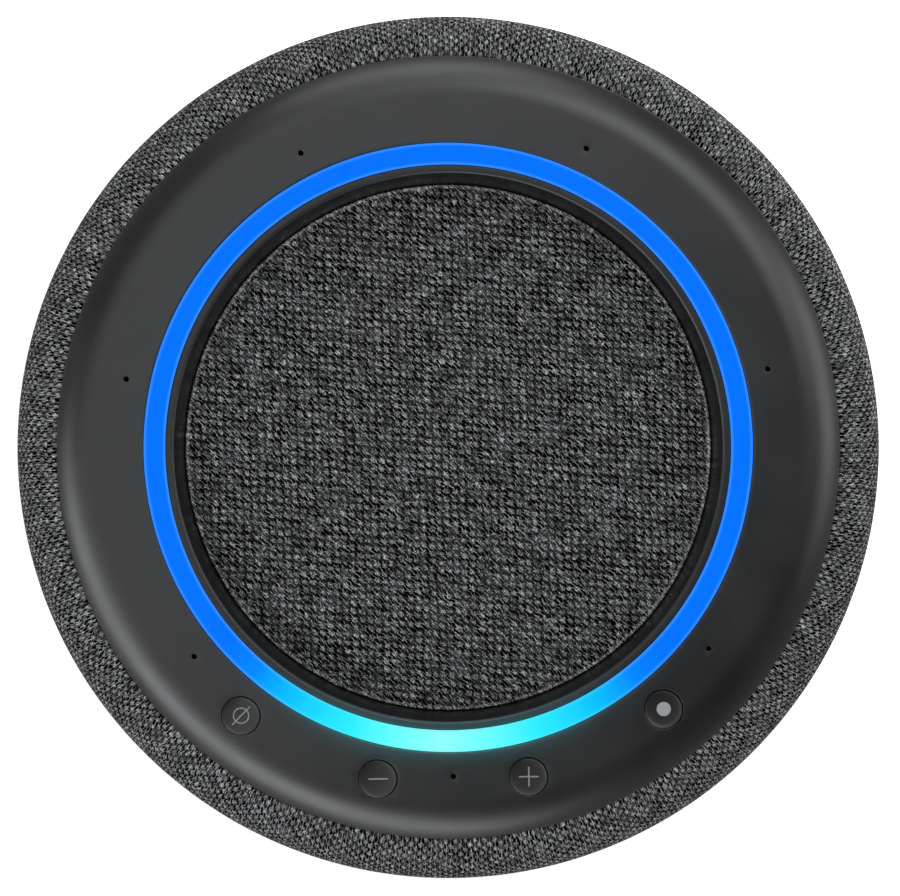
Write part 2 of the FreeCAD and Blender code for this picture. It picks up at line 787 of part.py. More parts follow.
def make_inner_enclosure():
    """Closed drum that carries the drivers, with flat seats, board rails and posts for the top."""
    wall = sheet_size("enclosure_wall")
    face = sheet_size("driver_face")
    height = sheet_size("driver_height")
    tweeter_face = sheet_size("tweeter_face")
    tweeter_height = sheet_size("tweeter_height")
    base = baffle_top + 0.1
    drum = rod("enclosure_drum", enclosure_radius, enclosure_top - base, (0, 0, base), "+z")
    depth = enclosure_top - base - wall
    hollow = rod("enclosure_hollow", enclosure_radius - wall, depth + 1, (0, 0, base - 1), "+z")
    rails = [
        block("rail_%d" % index, (low, low + 6.0), (44.5, 64.5), (106.0, 182.0))
        for index, low in enumerate((-50.0, 44.0))
    ]
    post_base = enclosure_top - 0.5
    board_posts = [
        rod("board_post_%d" % index, 2.5, board_height - post_base, (x, y, post_base), "+z")
        for index, (x, y) in enumerate(ring_of_points(73.0, 0.0, 6))
    ]
    recess_posts = [
        rod("recess_post_%d" % index, 2.3, 5.0, (x, y, enclosure_top - 0.5), "+z")
        for index, (x, y) in enumerate(ring_of_points(54.4, 45.0, 4))
    ]
    seats = [
        rod("seat_right", 32.5, 14.0, (face - 7.6, 0, height), "+x"),
        rod("seat_left", 32.5, 14.0, (7.6 - face, 0, height), "-x"),
        rod("seat_front", 25.0, 14.0, (0, 7.6 - tweeter_face, tweeter_height), "-y"),
    ]
    trimmed = shared("seats_trimmed", together("seats", seats), rod(
        "seat_limit", enclosure_radius, 120.0, (0, 0, 60.0), "+z"))
    solid = together("enclosure_solid", [without("enclosure_shell", drum, hollow), trimmed]
                     + rails + board_posts + recess_posts)

    tools = [
        rod("pocket_right", 30.4, 20.0, (face - 1.6, 0, height), "+x"),
        rod("pocket_left", 30.4, 20.0, (1.6 - face, 0, height), "-x"),
        rod("bore_right", 22.8, 30.0, (face - 12.0, 0, height), "+x"),
        rod("bore_left", 22.8, 30.0, (12.0 - face, 0, height), "-x"),
        rod("pocket_front", 21.9, 20.0, (0, 2.3 - tweeter_face, tweeter_height), "-y"),
        rod("bore_front", 17.4, 30.0, (0, 12.0 - tweeter_face, tweeter_height), "-y"),
        rod("bore_top", 22.8, 10.0, (0, 0, enclosure_top - 5.0), "+z"),
        block("ribbon_slot", (-8.0, 8.0), (60.5, 65.5), (enclosure_top - 5.0, enclosure_top + 2.0)),
        block(
            "board_slot", (-46.2, 46.2),
            (main_board_y - 0.1, main_board_y + board_thickness + 0.1), (105.0, 182.5),
        ),
    ]
    for index, (u, v) in enumerate(ring_of_points(sheet_size("driver_screw_circle"), 45.0, DRIVER_EARS)):
        tools.append(rod("screw_bore_right_%d" % index, 1.05, 6.0, (face - 6.6, v, height + u), "+x"))
        tools.append(rod("screw_bore_left_%d" % index, 1.05, 6.0, (6.6 - face, v, height + u), "-x"))
        tools.append(rod("screw_bore_top_%d" % index, 1.05, 6.0, (u, v, enclosure_top - 5.0), "+z"))
    for index, (u, v) in enumerate(ring_of_points(TWEETER_SCREW_CIRCLE, 90.0, TWEETER_SCREWS)):
        bore_end = (u, 7.2 - tweeter_face, tweeter_height + v)
        tools.append(rod("screw_bore_front_%d" % index, 0.8, 6.0, bore_end, "-y"))
    finish(without("inner_enclosure", solid, together("enclosure_tools", tools)), "inner_enclosure")


def make_main_board():
    board = block("main_board", (-46.0, 46.0), (main_board_y, main_board_y + board_thickness), (106.2, 181.8))
    finish(board, "main_board")
    chips = [
        block("chip_%d" % index, (x, x + width), (main_board_y - depth, main_board_y), (z, z + height))
        for index, (x, z, width, height, depth) in enumerate((
            (-13.0, 150.0, 26.0, 24.0, 2.6), (-38.0, 152.0, 14.0, 14.0, 1.6), (22.0, 154.0, 12.0, 12.0, 1.4),
            (-30.0, 118.0, 13.0, 13.0, 1.5), (18.0, 118.0, 13.0, 13.0, 1.5), (-8.0, 114.0, 9.0, 9.0, 6.0),
            (4.0, 114.0, 9.0, 9.0, 6.0), (-36.0, 136.0, 8.0, 10.0, 3.0), (30.0, 136.0, 8.0, 10.0, 3.0),
        ))
    ]
    finish(together("board_chips", chips), "board_chips")
    back = main_board_y + board_thickness
    plate = block("sink_plate", (-40.0, 40.0), (back, back + 3.0), (108.0, 170.0))
    fins = [
        block("sink_fin_%d" % index, (x, x + 1.6), (back + 2.9, back + 11.0), (108.0, 170.0))
        for index, x in enumerate([-39.0 + 8.5 * step for step in range(10)])
    ]
    finish(together("heat_sink", [plate] + fins), "heat_sink")


def make_ribbon_cable():
    """Flat flex from the main board's back up to the underside of the top board."""
    half, width = 0.15, 12.0
    start = main_board_y + board_thickness + 0.2
    bottom = board_height - half
    riser = 63.0
    body = new_body("ribbon_cable")
    sketch = new_sketch(body, "ribbon_outline", "YZ_Plane")
    low, high = 181.0, 184.0
    first = (start + 3.0, 178.0)
    second = (riser - 3.0, high)
    third = (riser + 2.0, bottom - 2.0)
    draw_outline(sketch, [
        (start - half, 172.0), (start + half, 172.0), (start + half, 178.0),
        (start + 3.0, low - half, first), (riser - 3.0, low - half), (riser + half, high, second),
        (riser + half, bottom - 2.0), (riser + 2.0, bottom - half, third), (72.0, bottom - half),
        (72.0, bottom + half), (riser + 2.0, bottom + half), (riser - half, bottom - 2.0, third),
        (riser - half, high), (riser - 3.0, low + half, second), (start + 3.0, low + half),
        (start - half, 178.0, first),
    ])
    pad(body, "ribbon_pad", sketch, width, both_ways=True)
    finish(body, "ribbon_cable")


# ---------------------------------------------------------------- outer shells

def make_grille_shell():
    """Perforated plastic drum behind the fabric, with the shoulder that carries the top deck."""
    thickness = sheet_size("shell_thickness")
    inner = backing_radius - thickness
    outer_arc = shoulder_radius - fabric_thickness - sheet_size("fabric_gap")
    inner_arc = outer_arc - thickness
    end = 59.5
    body = turned("grille_shell", [
        (inner, slot_roof), (backing_radius, slot_roof), (backing_radius, shoulder_centre[1]),
        on_shoulder(outer_arc, end) + (shoulder_centre,), on_shoulder(inner_arc, end),
        (inner, shoulder_centre[1], shoulder_centre),
    ])
    slots = new_sketch(body, "slots_sketch", "XZ_Plane")
    for low in (56.0, 88.0, 120.0, 152.0):
        draw_outline(slots, rectangle(-1.3, 1.3, low, low + 26.0))
    feature = pocket(body, "slots", slots, outer_radius + 5)
    axis_sketch = new_sketch(body, "axis_sketch", "XY_Plane")
    draw_circle(axis_sketch, 0, 0, 1.0)
    repeat_around(body, "slots_ring", feature, axis_sketch, 36)
    finish(body, "grille_shell")


def make_fabric_sleeve():
    """Knitted cover over the base, the drum and the shoulder, open at the aperture and the ports."""
    inner = outer_radius - fabric_thickness
    end = 61.1
    bottom = foot_height + 1.0
    corner = (outer_radius - 0.8, bottom + 0.8)
    body = turned("fabric_sleeve", [
        (inner, bottom), (outer_radius - 0.8, bottom), (outer_radius, bottom + 0.8, corner),
        (outer_radius, shoulder_centre[1]), on_shoulder(shoulder_radius, end) + (shoulder_centre,),
        on_shoulder(shoulder_radius - fabric_thickness, end), (inner, shoulder_centre[1], shoulder_centre),
    ])
    aperture = new_sketch(body, "aperture_sketch", "XZ_Plane")
    draw_outline(aperture, stadium(slot_half_width, slot_middle, slot_end_radius))
    pocket(body, "aperture", aperture, outer_radius * 2.2, both_ways=True)
    window = new_sketch(body, "window_sketch", "XZ_Plane")
    draw_outline(window, rectangle(
        -(port_half_width + 0.1), port_half_width + 0.1,
        port_height - port_half_height - 0.1, port_height + port_half_height + 0.1,
    ))
    pocket(body, "port_window", window, outer_radius + 5)
    finish(body, "fabric_sleeve")


# ---------------------------------------------------------------- top

def make_top_deck():
    """Ring-shaped cap with the button and microphone holes; its rim curves down to meet the fabric."""
    thickness = sheet_size("deck_thickness")
    hole = sheet_size("deck_hole_radius")
    end = 61.6
    body = turned("top_deck", [
        (hole, total_height - 4.0), (hole + 1.5, total_height - 4.0), (hole + 1.5, deck_underside),
        (shoulder_centre[0], deck_underside),
        on_shoulder(shoulder_radius - thickness, end) + (shoulder_centre,), on_shoulder(shoulder_radius, end),
        (shoulder_centre[0], total_height, shoulder_centre), (hole, total_height),
    ])
    holes = []
    for angle in BUTTON_ANGLES.values():
        x, y = around(button_circle, angle)
        holes.append((x, y, sheet_size("button_hole_radius")))
    for x, y in ring_of_points(sheet_size("mic_circle"), -90.0, MIC_COUNT):
        holes.append((x, y, sheet_size("mic_hole_radius")))
    round_holes(body, "top_holes", total_height, holes, 5.0)
    finish(body, "top_deck")


def make_light_ring():
    inner, outer = sheet_size("ring_inner_radius"), sheet_size("ring_outer_radius")
    bottom, edge = total_height - 3.4, 0.25
    body = turned("light_ring", [
        (inner, bottom), (outer, bottom), (outer, total_height - edge), (outer - edge, total_height),
        (inner + edge, total_height), (inner, total_height - edge),
    ])
    finish(body, "light_ring")


def make_recess_wall():
    """Inner bezel: a narrow lip, then a tapering wall down to the sunken grille and its ledge."""
    outer = sheet_size("ring_inner_radius") - 0.15
    lip, floor_radius = sheet_size("lip_radius"), sheet_size("recess_floor_radius")
    floor = total_height - sheet_size("recess_depth")
    body = turned("recess_wall", [
        (51.5, floor - 5.0), (outer, floor - 5.0), (outer, total_height), (lip + 0.3, total_height),
        (lip, total_height - 0.3), (floor_radius, floor), (floor_radius, floor - 3.5), (51.5, floor - 3.5),
    ])
    finish(body, "recess_wall")


def make_top_grille():
    rim = sheet_size("recess_floor_radius") - 0.15
    floor = total_height - sheet_size("recess_depth")
    body = turned("top_grille", [(0, floor - 3.4), (rim, floor - 3.4), (rim, floor - 1.0), (0, floor - 1.0)])
    for index in range(1, 7):
        x, y = around(8.0 * index, 15.0 * (index % 2))
        round_holes(body, "grille_holes_%d" % index, floor - 1.0, [(x, y, 1.7)], 2.4, 6 * index)
    finish(body, "top_grille")
    fabric = turned("top_fabric", [
        (0, floor - 0.9), (rim, floor - 0.9), (rim, floor - 0.2), (rim - 0.2, floor), (0, floor),
    ])
    finish(fabric, "top_fabric")


def make_top_board():
    body = turned("top_board", [
        (57.9, board_height), (76.0, board_height), (76.0, board_top), (57.9, board_top),
    ])
    finish(body, "top_board")
    leds = new_body("ring_leds")
    sketch = new_sketch(leds, "led_sketch", "XY_Plane", board_top)
    draw_outline(sketch, rectangle(58.1, 61.1, -1.5, 1.5))
    feature = pad(leds, "led_pad", sketch, 1.0)
    repeat_around(leds, "led_ring", feature, sketch, LED_COUNT)
    finish(leds, "ring_leds")
    microphones = new_body("microphones")
    sketch = new_sketch(microphones, "mic_sketch", "XY_Plane", board_top)
    mic_circle = sheet_size("mic_circle")
    draw_outline(sketch, rectangle(-1.75, 1.75, -(mic_circle + 1.3), -(mic_circle - 1.3)))
    feature = pad(microphones, "mic_pad", sketch, 1.1)
    repeat_around(microphones, "mic_ring", feature, sketch, MIC_COUNT)
    finish(microphones, "microphones")
    switches = []
    half = 2.3
    for index, angle in enumerate(BUTTON_ANGLES.values()):
        x, y = around(button_circle, angle)
        switches.append(block(
            "switch_case_%d" % index, (x - half, x + half), (y - half, y + half),
            (board_top, board_top + 0.7),
        ))
        switches.append(rod("switch_tip_%d" % index, 1.0, 0.9, (x, y, board_top), "+z"))
    finish(together("button_switches", switches), "button_switches")


def icon_minus(sketch):
    draw_outline(sketch, rectangle(-2.05, 2.05, -0.2, 0.2))


def icon_plus(sketch):
    arm, half = 2.05, 0.18
    draw_outline(sketch, [
        (-arm, -half), (-half, -half), (-half, -arm), (half, -arm), (half, -half), (arm, -half),
        (arm, half), (half, half), (half, arm), (-half, arm), (-half, half), (-arm, half),
    ])


def icon_dot(sketch):
    draw_circle(sketch, 0, 0, 1.52)


def icon_ring(sketch):
    draw_circle(sketch, 0, 0, 1.7)
    draw_circle(sketch, 0, 0, 1.35)


def icon_slash(sketch):
    """A bar at 45 degrees through the middle of the mute ring."""
    reach, half = 2.65, 0.18
    turn = math.sqrt(0.5)
    corners = ((-reach, -half), (reach, -half), (reach, half), (-reach, half))
    draw_outline(sketch, [(turn * (u - v), turn * (u + v)) for u, v in corners])


BUTTON_ICONS = {
    "button_mute": (icon_ring, icon_slash),
    "button_volume_down": (icon_minus,),
    "button_volume_up": (icon_plus,),
    "button_action": (icon_dot,),
}


def make_button(label):
    """Round key cap with a flange under the deck, a stem above its switch and an engraved icon."""
    cap = sheet_size("button_hole_radius") - sheet_size("button_gap")
    flange = cap + 1.0
    stem_bottom = board_top + 1.55
    body = turned(label, [
        (0, stem_bottom), (1.2, stem_bottom), (1.2, deck_underside - 1.2), (flange, deck_underside - 1.2),
        (flange, deck_underside - 0.4), (cap, deck_underside - 0.4), (cap, total_height - 0.2),
        (cap - 0.2, total_height), (0, total_height),
    ])
    for icon in BUTTON_ICONS[label]:
        sketch = new_sketch(body, label + "_" + icon.__name__, "XY_Plane", total_height)
        icon(sketch)
        pocket(body, label + "_engraving_" + icon.__name__, sketch, sheet_size("icon_depth"))
    x, y = around(button_circle, BUTTON_ANGLES[label])
    place(body, x, y, 0)
    finish(body, label)


# ---------------------------------------------------------------- screws

def screw(name, seat, direction, head, shank):
    """A pan-head screw driven from its seat along a direction; head and shank are (radius, length)."""
    axis = DIRECTIONS[direction]
    head_start = [coordinate - head[1] * step for coordinate, step in zip(seat, axis)]
    shank_start = [coordinate - 0.2 * step for coordinate, step in zip(seat, axis)]
    return together(name, [
        rod(name + "_head", head[0], head[1], head_start, direction),
        rod(name + "_shank", shank[0], shank[1] + 0.2, shank_start, direction),
    ])


def make_screws():
    base = [
        screw("base_screw_%d" % index, (x, y, foot_height + 1.6), "+z", (2.8, 1.5), (1.5, 9.0))
        for index, (x, y) in enumerate(ring_of_points(BASE_SCREW_CIRCLE, 45.0, 4))
    ]
    finish(together("base_screws", base), "base_screws")
    woofer = [
        screw("woofer_screw_%d" % index, (x, y, baffle_top + 3.1), "-z", (2.8, 1.8), (1.5, 7.0))
        for index, (x, y) in enumerate(ring_of_points(sheet_size("woofer_screw_circle"), 0.0, WOOFER_SCREWS))
    ]
    finish(together("woofer_screws", woofer), "woofer_screws")
    face, height = sheet_size("driver_face"), sheet_size("driver_height")
    small = []
    for index, (u, v) in enumerate(ring_of_points(sheet_size("driver_screw_circle"), 45.0, DRIVER_EARS)):
        seats = (
            ((face, v, height + u), "-x"), ((-face, v, height + u), "+x"), ((u, v, TOP_DRIVER_FACE), "-z"),
        )
        for side, (seat, direction) in enumerate(seats):
            small.append(screw("driver_screw_%d_%d" % (side, index), seat, direction, (1.9, 1.3), (1.0, 5.6)))
    for index, (u, v) in enumerate(ring_of_points(TWEETER_SCREW_CIRCLE, 90.0, TWEETER_SCREWS)):
        seat = (u, -sheet_size("tweeter_face"), sheet_size("tweeter_height") + v)
        small.append(screw("tweeter_screw_%d" % index, seat, "+y", (1.3, 0.9), (0.75, 5.0)))
    finish(together("driver_screws", small), "driver_screws")


# ---------------------------------------------------------------- build, check and write

def build_all():
    make_foot_ring()
    make_bottom_cover()
    make_base_shell()
    make_port_panel()
    make_mains_inlet()
    make_audio_jack()
    make_service_port()
    make_power_supply()
    make_pillar("left_pillar", -1)
    make_pillar("right_pillar", 1)
    make_aperture_trims()
    make_woofer_baffle()
    make_woofer_frame()
    make_woofer_magnet()
    make_woofer_cone()
    make_woofer_dust_cap()
    make_woofer_surround()
    make_woofer_spider()
    for side in DRIVER_PLACES:
        make_driver_frame(side)
        make_driver_magnet(side)
        make_driver_cone(side)
        make_driver_surround(side)
    make_tweeter()
    make_inner_enclosure()
    make_main_board()
    make_ribbon_cable()
    make_grille_shell()
    make_fabric_sleeve()
    make_top_deck()
    make_light_ring()
    make_recess_wall()
    make_top_grille()
    make_top_board()
    for label in BUTTON_ANGLES:
        make_button(label)
    make_screws()


def check_document():
    for item in document.Objects:
        if "Invalid" in item.State or "Error" in item.State:
            raise RuntimeError("%s failed: %s" % (item.Name, item.State))
    for item in sub_parts:
        if item.Shape.isNull() or not item.Shape.isValid() or not item.Shape.Solids:
            raise RuntimeError("%s has no valid solid" % item.Label)


def write_steps():
    os.makedirs("parts", exist_ok=True)
    for item in sub_parts:
        item.Shape.exportStep(os.path.join("parts", item.Label + ".step"))
        volume = item.Shape.Volume / 1000.0
        print("%-22s %2d solid(s) %9.2f cm3" % (item.Label, len(item.Shape.Solids), volume))
    print("%d nodes" % len(sub_parts))


build_all()
document.recompute()
check_document()
write_steps()
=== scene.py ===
import bpy
import math
import numpy as np
from mathutils import Matrix, Vector
from mathutils.geometry import delaunay_2d_cdt


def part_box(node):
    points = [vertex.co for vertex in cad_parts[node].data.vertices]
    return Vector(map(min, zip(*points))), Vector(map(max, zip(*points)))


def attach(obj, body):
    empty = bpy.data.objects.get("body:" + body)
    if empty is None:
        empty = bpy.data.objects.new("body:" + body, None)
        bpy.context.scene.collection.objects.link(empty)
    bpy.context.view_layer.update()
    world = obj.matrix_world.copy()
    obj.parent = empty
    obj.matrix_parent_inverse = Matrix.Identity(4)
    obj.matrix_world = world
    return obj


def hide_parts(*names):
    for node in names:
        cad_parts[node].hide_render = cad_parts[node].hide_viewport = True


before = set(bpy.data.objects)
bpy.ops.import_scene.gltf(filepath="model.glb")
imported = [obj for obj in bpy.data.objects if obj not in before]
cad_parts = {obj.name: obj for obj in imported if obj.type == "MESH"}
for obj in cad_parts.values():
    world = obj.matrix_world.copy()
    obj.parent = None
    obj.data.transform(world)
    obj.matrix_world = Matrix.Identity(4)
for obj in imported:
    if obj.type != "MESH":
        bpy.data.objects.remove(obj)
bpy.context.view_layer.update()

# A cylindrical smart home hub: knitted sleeve, plastic deck with keys, light ring and a sunken
# fabric disc. Shapes are worked out in millimetres and become metres when a mesh is made.
MM = 0.001


def box_mm(node):
    """A CAD node's lowest and highest corners at rest, in millimetres."""
    low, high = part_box(node)
    return low / MM, high / MM


# ---------------------------------------------------------------- sizes, from the CAD frame

# Lengths are in millimetres. An angle on the shoulder counts up from the straight side.
TOP = box_mm("top_deck")[1].z
SLEEVE_RADIUS = box_mm("fabric_sleeve")[1].y
SLEEVE_BOTTOM = box_mm("fabric_sleeve")[0].z
SHOULDER = 16.0
SHOULDER_R = SLEEVE_RADIUS - SHOULDER
SHOULDER_Z = TOP - SHOULDER
FABRIC = 1.0
SLEEVE_END = math.radians(60.0)
DECK_END = math.radians(60.5)
DECK_RIM = SHOULDER_R + SHOULDER * math.cos(DECK_END)
DECK_HOLE = 61.9
DECK_THICK = 2.4
RING_OUT = box_mm("light_ring")[1].x
RING_IN = 57.35
RECESS_OUT = box_mm("recess_wall")[1].x
LIP_RADIUS = 55.35
RECESS_FLOOR = box_mm("top_fabric")[1].z
RECESS_FLOOR_R = 53.5
DISC_RADIUS = box_mm("top_fabric")[1].x
# The disc's edge radius for the knit's painted highlight, with painted shade just past it.
DISC_PAINTED_EDGE_R = 52.85
CYAN_MIDDLE = math.radians(-92.0)
MIC_CIRCLE = 66.7
MIC_RADIUS = 0.55
MIC_COUNT = 7
KEY_HOLE = 4.0
KEY_CAP = 3.8
APERTURE = {"half": 70.0, "middle": 32.0, "radius": 7.5}
PORTS = {"half": 27.1, "low": 6.2, "high": 19.8}

# The knit: half stitches round the sleeve, and half stitches to a millimetre of its height.
WALES = 504
COURSES = 0.91

# Where the points of a rounded edge lie, as shares of its radius.
ROUND_SHARES = (0.0, 0.08, 0.25, 0.5, 0.75, 1.0)
CLOTH_ROUND_SHARES = (0.06, 0.2, 0.45, 0.75, 1.0)


def centre_of(node):
    """The middle of a CAD node as seen from above."""
    low, high = box_mm(node)
    return (low.x + high.x) / 2, (low.y + high.y) / 2


# Each key's CAD node, and the body that it rides on.
KEYS = {
    "mute": ("button_mute", "mute_key"),
    "volume_down": ("button_volume_down", "volume_down_key"),
    "volume_up": ("button_volume_up", "volume_up_key"),
    "action": ("button_action", "action_key"),
}
KEY_CENTRES = {key: centre_of(node) for key, (node, body) in KEYS.items()}
MIC_CENTRES = [
    (MIC_CIRCLE * math.cos(turn), MIC_CIRCLE * math.sin(turn))
    for turn in (math.radians(-90.0 + 360.0 * i / MIC_COUNT) for i in range(MIC_COUNT))
]


# ---------------------------------------------------------------- mesh helpers

def make_mesh(name, points, faces, material, uv=None, sharp=32.0):
    """A mesh piece from points in millimetres. uv is one pair per point."""
    mesh = bpy.data.meshes.new(name)
    coordinates = np.asarray(points, float) * MM
    mesh.from_pydata([tuple(p) for p in coordinates], [], [tuple(f) for f in faces])
    mesh.validate()
    mesh.polygons.foreach_set("use_smooth", [True] * len(mesh.polygons))
    mesh.set_sharp_from_angle(angle=math.radians(sharp))
    if uv is not None:
        layer = mesh.uv_layers.new(name="weave")
        loop_points = np.zeros(len(mesh.loops), int)
        mesh.loops.foreach_get("vertex_index", loop_points)
        layer.data.foreach_set("uv", np.asarray(uv, float)[loop_points].ravel())
    mesh.materials.append(material)
    piece = bpy.data.objects.new(name, mesh)
    bpy.context.scene.collection.objects.link(piece)
    return piece


def rounded(corners, closed=True, steps=6):
    """Points of an outline whose corners (x, y, radius) are rounded off."""
    points = []
    count = len(corners)
    for i, (x, y, radius) in enumerate(corners):
        here = Vector((x, y))
        if radius <= 0 or (not closed and i in (0, count - 1)):
            points.append((x, y))
            continue
        to_last = (Vector(corners[i - 1][:2]) - here).normalized()
        to_next = (Vector(corners[(i + 1) % count][:2]) - here).normalized()
        half = to_last.angle(to_next) / 2
        middle = here + (to_last + to_next).normalized() * (radius / math.sin(half))
        start = here + to_last * (radius / math.tan(half)) - middle
        sweep = start.angle_signed(here + to_next * (radius / math.tan(half)) - middle)
        for step in range(steps + 1):
            turn = Matrix.Rotation(-sweep * step / steps, 2)
            points.append(tuple(middle + turn @ start))
    return points


def lathe(name, profile, material, columns=288, uv=None, sharp=32.0):
    """Turn a closed outline of (radius, z) about the vertical axis; radius 0 becomes one point."""
    points = []
    rings = []
    for radius, z in profile:
        if radius < 1e-6:
            rings.append([len(points)] * columns)
            points.append((0.0, 0.0, z))
            continue
        rings.append(list(range(len(points), len(points) + columns)))
        for column in range(columns):
            turn = 2 * math.pi * column / columns
            points.append((radius * math.cos(turn), radius * math.sin(turn), z))
    faces = []
    for lower, upper in zip(rings, rings[1:] + rings[:1]):
        for column in range(columns):
            after = (column + 1) % columns
            face = [lower[column], lower[after], upper[after], upper[column]]
            face = [p for k, p in enumerate(face) if p != face[k - 1]]
            if len(face) > 2:
                faces.append(face)
    weave = None if uv is None else [uv(p) for p in points]
    return make_mesh(name, points, faces, material, weave, sharp)


def circle(x, y, radius, count):
    """A closed loop of points round a centre."""
    turns = [2 * math.pi * i / count for i in range(count)]
    return [(x + radius * math.cos(turn), y + radius * math.sin(turn)) for turn in turns]


def triangulate(loops, extra, keep):
    """Triangles over all loops and extra points whose middles pass keep(x, y)."""
    points = []
    edges = []
    for loop in loops:
        first = len(points)
        points.extend(loop)
        edges.extend((first + i, first + (i + 1) % len(loop)) for i in range(len(loop)))
    points.extend(extra)
    flat = [Vector(p) for p in points]
    merge_within = 1e-5
    made, _, faces, _, _, _ = delaunay_2d_cdt(flat, edges, [], 0, merge_within)
    made = np.array([tuple(p) for p in made])
    kept = []
    for face in faces:
        middle = made[list(face)].mean(0)
        if keep(*middle):
            kept.append(list(face))
    used = sorted({p for face in kept for p in face})
    renumber = {old: new for new, old in enumerate(used)}
    return made[used], [[renumber[p] for p in face] for face in kept]


def boundary_edges(faces):
    """Directed edges that belong to one face only."""
    directed = {(face[i - 1], face[i]) for face in faces for i in range(len(face))}
    return [(a, b) for a, b in directed if (b, a) not in directed]


def slab(flat, faces, upper, lower):
    """Points and faces of a closed plate from one triangulation and two surfaces over it."""
    count = len(flat)
    points = [upper(*p) for p in flat] + [lower(*p) for p in flat]
    closed = [list(face) for face in faces]
    closed += [[count + p for p in reversed(face)] for face in faces]
    closed += [[a, a + count, b + count, b] for a, b in boundary_edges(faces)]
    return points, closed


def round_over(distance, radius):
    """How far a rounded edge has dropped at this distance in from it."""
    if distance >= radius:
        return 0.0
    inside = radius - max(distance, 0.0)
    return radius - math.sqrt(max(radius * radius - inside * inside, 0.0))


# ---------------------------------------------------------------- material helpers

class Graph:
    """A short way to write a material's nodes."""

    def __init__(self, name):
        self.material = bpy.data.materials.new(name)
        self.material.use_nodes = True
        self.tree = self.material.node_tree
        self.tree.nodes.clear()
        output = self.tree.nodes.new("ShaderNodeOutputMaterial")
        self.shader = self.tree.nodes.new("ShaderNodeBsdfPrincipled")
        self.tree.links.new(self.shader.outputs[0], output.inputs["Surface"])

    def feed(self, socket, value):
        if isinstance(value, bpy.types.NodeSocket):
            self.tree.links.new(value, socket)
        elif value is not None:
            socket.default_value = value

    def add(self, kind, inputs=(), **settings):
        node = self.tree.nodes.new(kind)
        for key, value in settings.items():
            setattr(node, key, value)
        for key, value in dict(inputs).items():
            self.feed(node.inputs[key], value)
        return node

    def set(self, **values):
        """Shader sockets by name, with _ for a space."""
        for key, value in values.items():
            self.feed(self.shader.inputs[key.replace("_", " ")], value)

    def math(self, operation, a, b=None, c=None, clamp=False):
        node = self.add("ShaderNodeMath", {0: a, 1: b, 2: c}, operation=operation, use_clamp=clamp)
        return node.outputs[0]

    def total(self, *terms):
        result = terms[0]
        for term in terms[1:]:
            result = self.math("ADD", result, term)
        return result

    def scaled(self, value, factor, offset=0.0):
        return self.math("MULTIPLY_ADD", value, factor, offset)

    def object_position(self):
        return self.add("ShaderNodeTexCoord").outputs["Object"]

    def from_axis(self, x, y):
        """Distance from the drum's axis."""
        squares = self.math("ADD", self.math("MULTIPLY", x, x), self.math("MULTIPLY", y, y))
        return self.math("SQRT", squares)

    def split(self, vector):
        node = self.add("ShaderNodeSeparateXYZ", {0: vector})
        return node.outputs[0], node.outputs[1], node.outputs[2]

    def join(self, x, y, z=0.0):
        return self.add("ShaderNodeCombineXYZ", {0: x, 1: y, 2: z}).outputs[0]

    def noise(self, vector, scale, detail=2.0, rough=0.5, dimensions="3D"):
        node = self.add(
            "ShaderNodeTexNoise",
            {"Vector": vector, "Scale": scale, "Detail": detail, "Roughness": rough},
            noise_dimensions=dimensions,
        )
        return node.outputs[0]

    def remap(self, value, low, high, to_low=0.0, to_high=1.0, smooth=False):
        node = self.add(
            "ShaderNodeMapRange",
            {0: value, 1: low, 2: high, 3: to_low, 4: to_high},
            interpolation_type="SMOOTHSTEP" if smooth else "LINEAR",
        )
        return node.outputs[0]

    def ramp(self, value, stops, interpolation="LINEAR"):
        node = self.add("ShaderNodeValToRGB", {0: value})
        node.color_ramp.interpolation = interpolation
        elements = node.color_ramp.elements
        while len(elements) < len(stops):
            elements.new(0.5)
        for element, (position, colour) in zip(elements, stops):
            element.position = position
        for element, (position, colour) in zip(elements, stops):
            element.color = colour
        return node.outputs[0]

    def mix(self, factor, a, b):
        node = self.add("ShaderNodeMix", {0: factor}, data_type="RGBA")
        self.feed(node.inputs[6], a)
        self.feed(node.inputs[7], b)
        return node.outputs[2]

    def bump(self, height, distance, strength=1.0, onto=None):
        inputs = {"Height": height, "Distance": distance * MM, "Strength": strength, "Normal": onto}
        return self.add("ShaderNodeBump", inputs).outputs[0]


def grey(value, warm=0.0):
    """A linear grey; warm above 0 is redder, below 0 bluer."""
    return (value * (1 + warm), value, value * (1 - warm), 1.0)


def linear(red, green, blue):
    """An 8-bit display colour as linear light."""
    values = []
    for channel in (red, green, blue):
        share = channel / 255.0
        values.append(share / 12.92 if share <= 0.04045 else ((share + 0.055) / 1.055) ** 2.4)
    return (*values, 1.0)


# ---------------------------------------------------------------- materials

